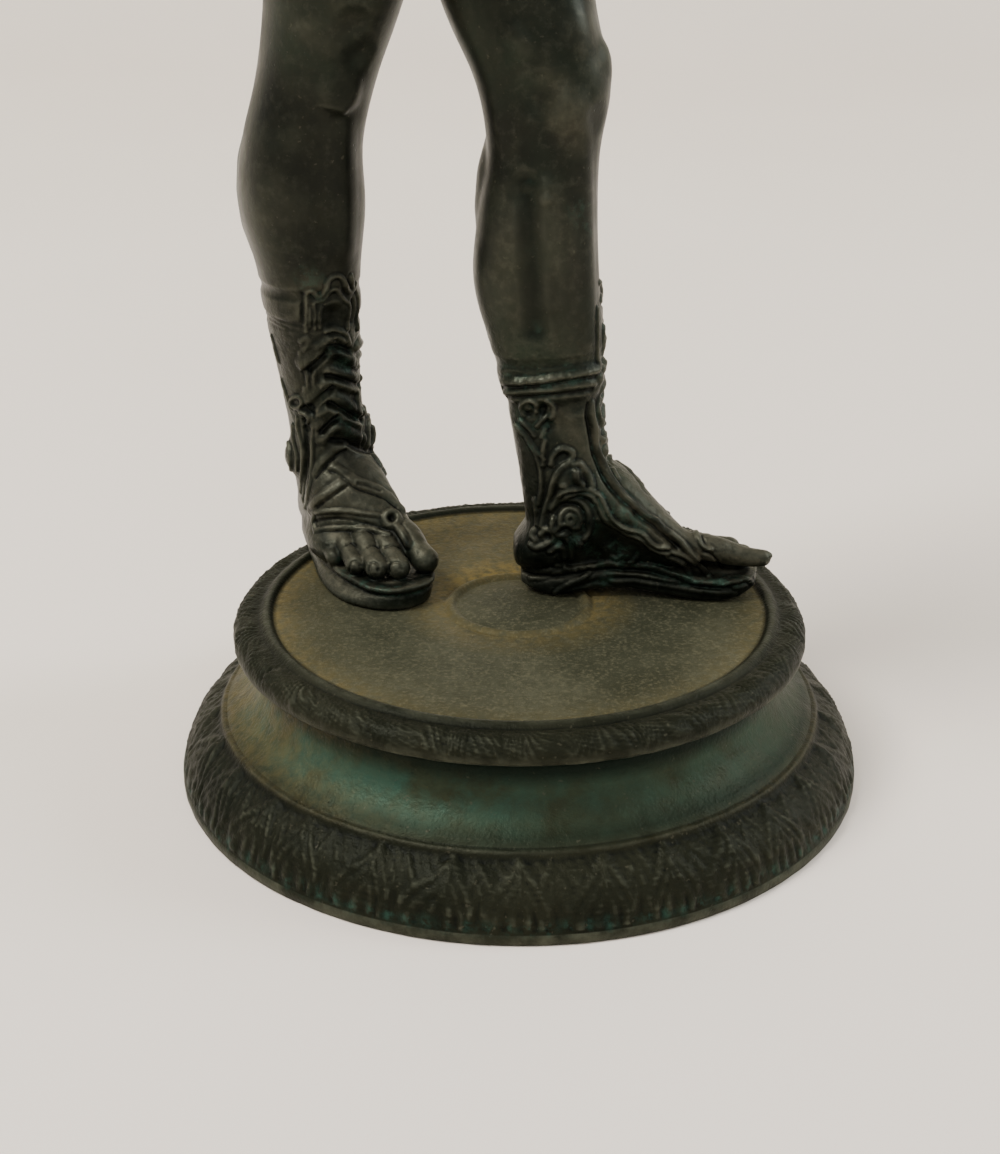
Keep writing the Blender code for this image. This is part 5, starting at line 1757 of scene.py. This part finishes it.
def plinth_bronze():
    """The same metal with ochre dust on the disc and green salts in the cove."""
    n = Nodes("plinth_bronze")
    hollow = n.attribute("hollow")
    patches = n.noise(48.0, 5.0)
    cloud = n.noise(190.0, 5.0, 0.6)
    mottle = n.noise(520.0, 4.0, 0.65)
    grain = n.noise(1500.0, 3.0)
    colour = n.mix(n.span(patches, 0.36, 0.66), BAND_DARK, BAND_PALE)
    raised = n.maths("MULTIPLY", n.span(hollow, -0.05, -0.3), n.span(cloud, 0.38, 0.66, 0.15, 1.0))
    colour = n.mix(raised, colour, BAND_RUBBED)
    sunk = n.span(hollow, 0.02, 0.22)
    colour = n.mix(n.maths("MULTIPLY", sunk, 0.85), colour, DEEP_DIRT)
    cove = n.attribute("cove")
    streaks = n.noise(120.0, 5.0, 0.6)
    green = n.mix(n.span(cloud, 0.35, 0.68), COVE_OLIVE, COVE_GREEN)
    wet = n.maths("MULTIPLY", n.attribute("salts"), n.span(streaks, 0.40, 0.62))
    green = n.mix(wet, green, COVE_TEAL)
    colour = n.mix(cove, colour, green)
    # Painted shade under the rim and in the fillet at the cove's foot
    colour = n.mix(n.attribute("painted_shade"), colour, UNDER_RIM_SHADE)
    feet = n.maths("MULTIPLY", n.attribute("feet"), n.span(mottle, 0.44, 0.62, 0.0, 0.5))
    colour = n.mix(feet, colour, COVE_TEAL)
    disc = n.attribute("disc")
    top = n.mix(n.span(patches, 0.34, 0.66), DISC_DARK, DISC_PALE)
    top = n.mix(n.span(mottle, 0.40, 0.62, 0.0, 0.5), top, DISC_DARK)
    top = n.mix(n.span(grain, 0.5, 0.72, 0.0, 0.6), top, DISC_GRAIN)
    colour = n.mix(disc, colour, top)
    dust_and_painted_highlight = n.maths("MULTIPLY", n.attribute("dust_and_painted_highlight"), n.span(mottle, 0.36, 0.6, 0.25, 1.0))
    colour = n.mix(dust_and_painted_highlight, colour, OCHRE)
    specks = n.span(n.noise(800.0, 2.0), 0.68, 0.74, 0.0, 0.3)
    colour = n.mix(specks, colour, DUST_AND_PAINTED_HIGHLIGHT)
    n.feed(n.shader.inputs["Base Color"], colour)
    n.shader.inputs["Metallic"].default_value = 0.35
    n.shader.inputs["Specular IOR Level"].default_value = 0.1
    rough = n.span(n.maths("ADD", cloud, n.maths("MULTIPLY", disc, 0.3)), 0.3, 1.0, 0.42, 0.74)
    n.feed(n.shader.inputs["Roughness"], rough)
    bumps = n.maths("ADD", n.maths("MULTIPLY", grain, 0.8), n.maths("MULTIPLY", mottle, 1.0))
    bumps = n.maths("SUBTRACT", bumps, n.maths("MULTIPLY", n.pits(560.0, 0.12), 0.5))
    bump = n.new("ShaderNodeBump", Height=bumps, Strength=0.6, Distance=0.0003)
    n.feed(n.shader.inputs["Normal"], bump.outputs["Normal"])
    return n.material


# %% Place the pieces
PIECES = bpy.data.collections.new("dressed_statuette")
bpy.context.scene.collection.children.link(PIECES)


def placed(name, mesh, material, node, hollow_rounds):
    """Gives a clay its attributes, size, material and place in the frame."""
    store(mesh, "hollow", hollow_field(mesh, hollow_rounds))
    store(mesh, "boot", np.clip((BOOT_TOP - corners(mesh, "co")[:, 2]) / BOOT_FADE, 0.0, 1.0))
    mesh.transform(Matrix.Translation((0.0, 0.0, DISC_HEIGHT * MM)) @ Matrix.Scale(MM, 4))
    mesh.materials.clear()
    mesh.materials.append(material)
    mesh.shade_smooth()
    mesh.name = name
    piece = bpy.data.objects.new(name, mesh)
    PIECES.objects.link(piece)
    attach(piece, "root")
    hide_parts(node)
    mesh.calc_loop_triangles()
    print(name, len(mesh.loop_triangles), "triangles")
    return piece


# The side of the cove that is greenest, as an angle round the plinth
GREENEST = math.radians(-115.0)
# Heights of the cove's top and foot, and of the painted shade below the rim
COVE_HEIGHTS = (-7.0, -19.4)
SHADE_LOW = (-4.6, -11.6)


def plinth_fields(mesh):
    """Where the disc, the cove, the green salts, the painted shade and the ochre dust lie."""
    x, y, z = corners(mesh, "co").T
    radius = np.hypot(x, y)
    around = np.arctan2(y, x)
    disc = np.clip((BEAD_IN + 0.4 - radius) / 0.8, 0.0, 1.0) * (z > -2.0)
    store(mesh, "disc", disc)
    top, foot = COVE_HEIGHTS
    cove = np.clip((top - z) / 1.2, 0.0, 1.0) * np.clip((z - foot) / 0.8, 0.0, 1.0)
    store(mesh, "cove", cove * (radius < 60.0))
    start, end = SHADE_LOW
    painted_shade = np.clip(start - z, 0.0, 1.0) * np.clip((z - end) / 2.4, 0.0, 1.0)
    # Painted shade in the fillet at the cove's foot as well
    at_foot = 0.5 * np.exp(-(((z + 18.1) / 1.0) ** 2)) * (radius < 59.0)
    store(mesh, "painted_shade", np.clip(0.85 * painted_shade * (radius < 55.4) + at_foot, 0.0, 1.0))
    middle = np.clip(1.0 - np.abs(z + 12.5) / 6.0, 0.0, 1.0) ** 0.6 * (radius < 60.0)
    front_left = (0.5 + 0.5 * np.cos(around - GREENEST)) ** 2
    store(mesh, "salts", middle * front_left * (0.7 + 0.3 * waver(around, 31, (1, 2, 5))))
    place = (around / (2.0 * math.pi) * LEAF_COUNT * 4.0) % 1.0
    low = np.exp(-(((z - BAND_FOOT[1] - 0.9) / 1.1) ** 2)) * (radius > 62.0)
    store(mesh, "feet", low * np.clip(1.4 - 4.0 * np.abs(place - 0.5), 0.25, 1.0))
    wander = 0.6 + 0.4 * waver(around, 37, (1, 2, 4, 7))
    sides = 0.25 + 0.75 * np.abs(np.cos(around - 0.15)) ** 2
    edge = np.clip((radius - 38.0) / 10.0, 0.0, 1.0) ** 2 * disc * sides
    behind = 0.4 + 0.6 * np.clip(0.5 + y / 30.0, 0.0, 1.0)
    ringed = np.exp(-(((radius - 15.4) / 2.2) ** 2)) * disc * behind
    back = 0.45 * np.clip((y - 4.0) / 26.0, 0.0, 1.0) * disc
    seam = np.exp(-(((z - foot) / 0.45) ** 2)) * (radius < 61.0) * np.abs(np.cos(around)) ** 2
    on_left = 0.4 * cove * np.clip(0.5 + 0.5 * np.cos(around - math.pi), 0.0, 1.0) ** 6
    total = 0.9 * edge * wander + 0.8 * ringed + back + 0.3 * seam * wander + on_left
    store(mesh, "dust_and_painted_highlight", np.clip(total, 0.0, 1.0))


plinth_fields(plinth_mesh)
placed("statuette_plinth", plinth_mesh, plinth_bronze(), "plinth", 10)
figure_bronze = bronze()
figure_meshes = {
    "statuette_body": body_mesh, "statuette_cloth": cloth_mesh,
    "right_leg": right_leg_mesh, "left_leg": left_leg_mesh,
}
for name, mesh in figure_meshes.items():
    if "leg" in name:
        # Dark stains with painted shade; green salts; dust with painted highlights
        store(mesh, "stain_and_painted_shade", marks_near_lines(mesh, DARK_STAINS_AND_PAINTED_SHADE))
        store(mesh, "salts", marks_near_lines(mesh, TEAL_STAINS))
        store(mesh, "dust_and_painted_highlight", np.maximum(dust_above(mesh), marks_near_lines(mesh, DUST_AND_PAINTED_HIGHLIGHTS)))
    else:
        store(mesh, "dust_and_painted_highlight", 0.5 * dust_above(mesh))
    placed(name, mesh, figure_bronze, "figure", 12)

# %% [markdown]
# ## The studio
#
# The photo was taken on pale seamless paper under soft light. The paper is one curved sheet, far
# enough back that a camera behind the statuette still stands in front of it.

# %% Paper
PAPER_WIDTH = 4.0
PAPER_FRONT = -2.0
PAPER_BACK = 1.25
PAPER_BEND = 0.35
PAPER_TOP = 2.4
FLOOR_TONE = (0.915, 0.825, 0.735)
FLOOR_PALE = (0.955, 0.865, 0.775)
WALL_TONE = (0.94, 0.91, 0.765)


def make_paper():
    bm = bmesh.new()
    path = [(PAPER_FRONT, 0.0), (PAPER_BACK - PAPER_BEND, 0.0)]
    for i in range(1, 17):
        angle = math.radians(90 * i / 16)
        path.append((
            PAPER_BACK - PAPER_BEND * (1.0 - math.sin(angle)),
            PAPER_BEND * (1.0 - math.cos(angle)),
        ))
    path.append((PAPER_BACK, PAPER_TOP))
    verts = [bm.verts.new((-PAPER_WIDTH / 2, y, z)) for y, z in path]
    edges = [bm.edges.new(pair) for pair in zip(verts, verts[1:])]
    wide = bmesh.ops.extrude_edge_only(bm, edges=edges)
    moved = [item for item in wide["geom"] if isinstance(item, bmesh.types.BMVert)]
    bmesh.ops.translate(bm, verts=moved, vec=(PAPER_WIDTH, 0.0, 0.0))
    mesh = bpy.data.meshes.new("paper")
    bm.to_mesh(mesh)
    bm.free()
    mesh.shade_smooth()
    n = Nodes("paper")
    height = n.new("ShaderNodeSeparateXYZ", Vector=n.place()).outputs["Z"]
    floor = n.mix(n.span(n.noise(3.0, 2.0), 0.3, 0.7), FLOOR_TONE, FLOOR_PALE)
    tone = n.mix(n.span(height, 0.0, PAPER_BEND), floor, WALL_TONE)
    n.feed(n.shader.inputs["Base Color"], tone)
    n.shader.inputs["Roughness"].default_value = 0.9
    mesh.materials.append(n.material)
    paper = bpy.data.objects.new("paper", mesh)
    bpy.context.scene.collection.objects.link(paper)
    return paper


# %% Lights
def add_light(name, place, target, size, watts, colour):
    data = bpy.data.lights.new(name, "AREA")
    data.shape = "RECTANGLE"
    data.size, data.size_y = size
    data.energy = watts
    data.color = colour
    light = bpy.data.objects.new(name, data)
    bpy.context.scene.collection.objects.link(light)
    light.location = place
    aim = Vector(target) - Vector(place)
    light.rotation_euler = aim.to_track_quat("-Z", "Y").to_euler()
    return light


# Each light: where it stands, what it looks at, its size in metres, watts and colour
LIGHTS = {
    "top_left": ((-0.9, -0.3, 1.5), (0.0, 0.05, 0.1), (0.6, 0.5), 34.0, (1.0, 0.97, 0.92)),
    "right_window": ((1.4, 0.2, 0.9), (0.0, 0.0, 0.1), (0.6, 0.8), 15.0, (0.95, 0.98, 1.0)),
    "front_fill": ((0.1, -1.6, 1.3), (0.0, 0.0, 0.1), (1.2, 0.8), 9.0, (1.0, 0.98, 0.95)),
}
ROOM_COLOUR = (0.95, 0.94, 0.92, 1.0)
ROOM_STRENGTH = 0.5
make_paper()
for name, facts in LIGHTS.items():
    add_light(name, *facts)
world = bpy.data.worlds.new("pale_room")
bpy.context.scene.world = world
world.use_nodes = True
world.node_tree.nodes["Background"].inputs["Color"].default_value = ROOM_COLOUR
world.node_tree.nodes["Background"].inputs["Strength"].default_value = ROOM_STRENGTH
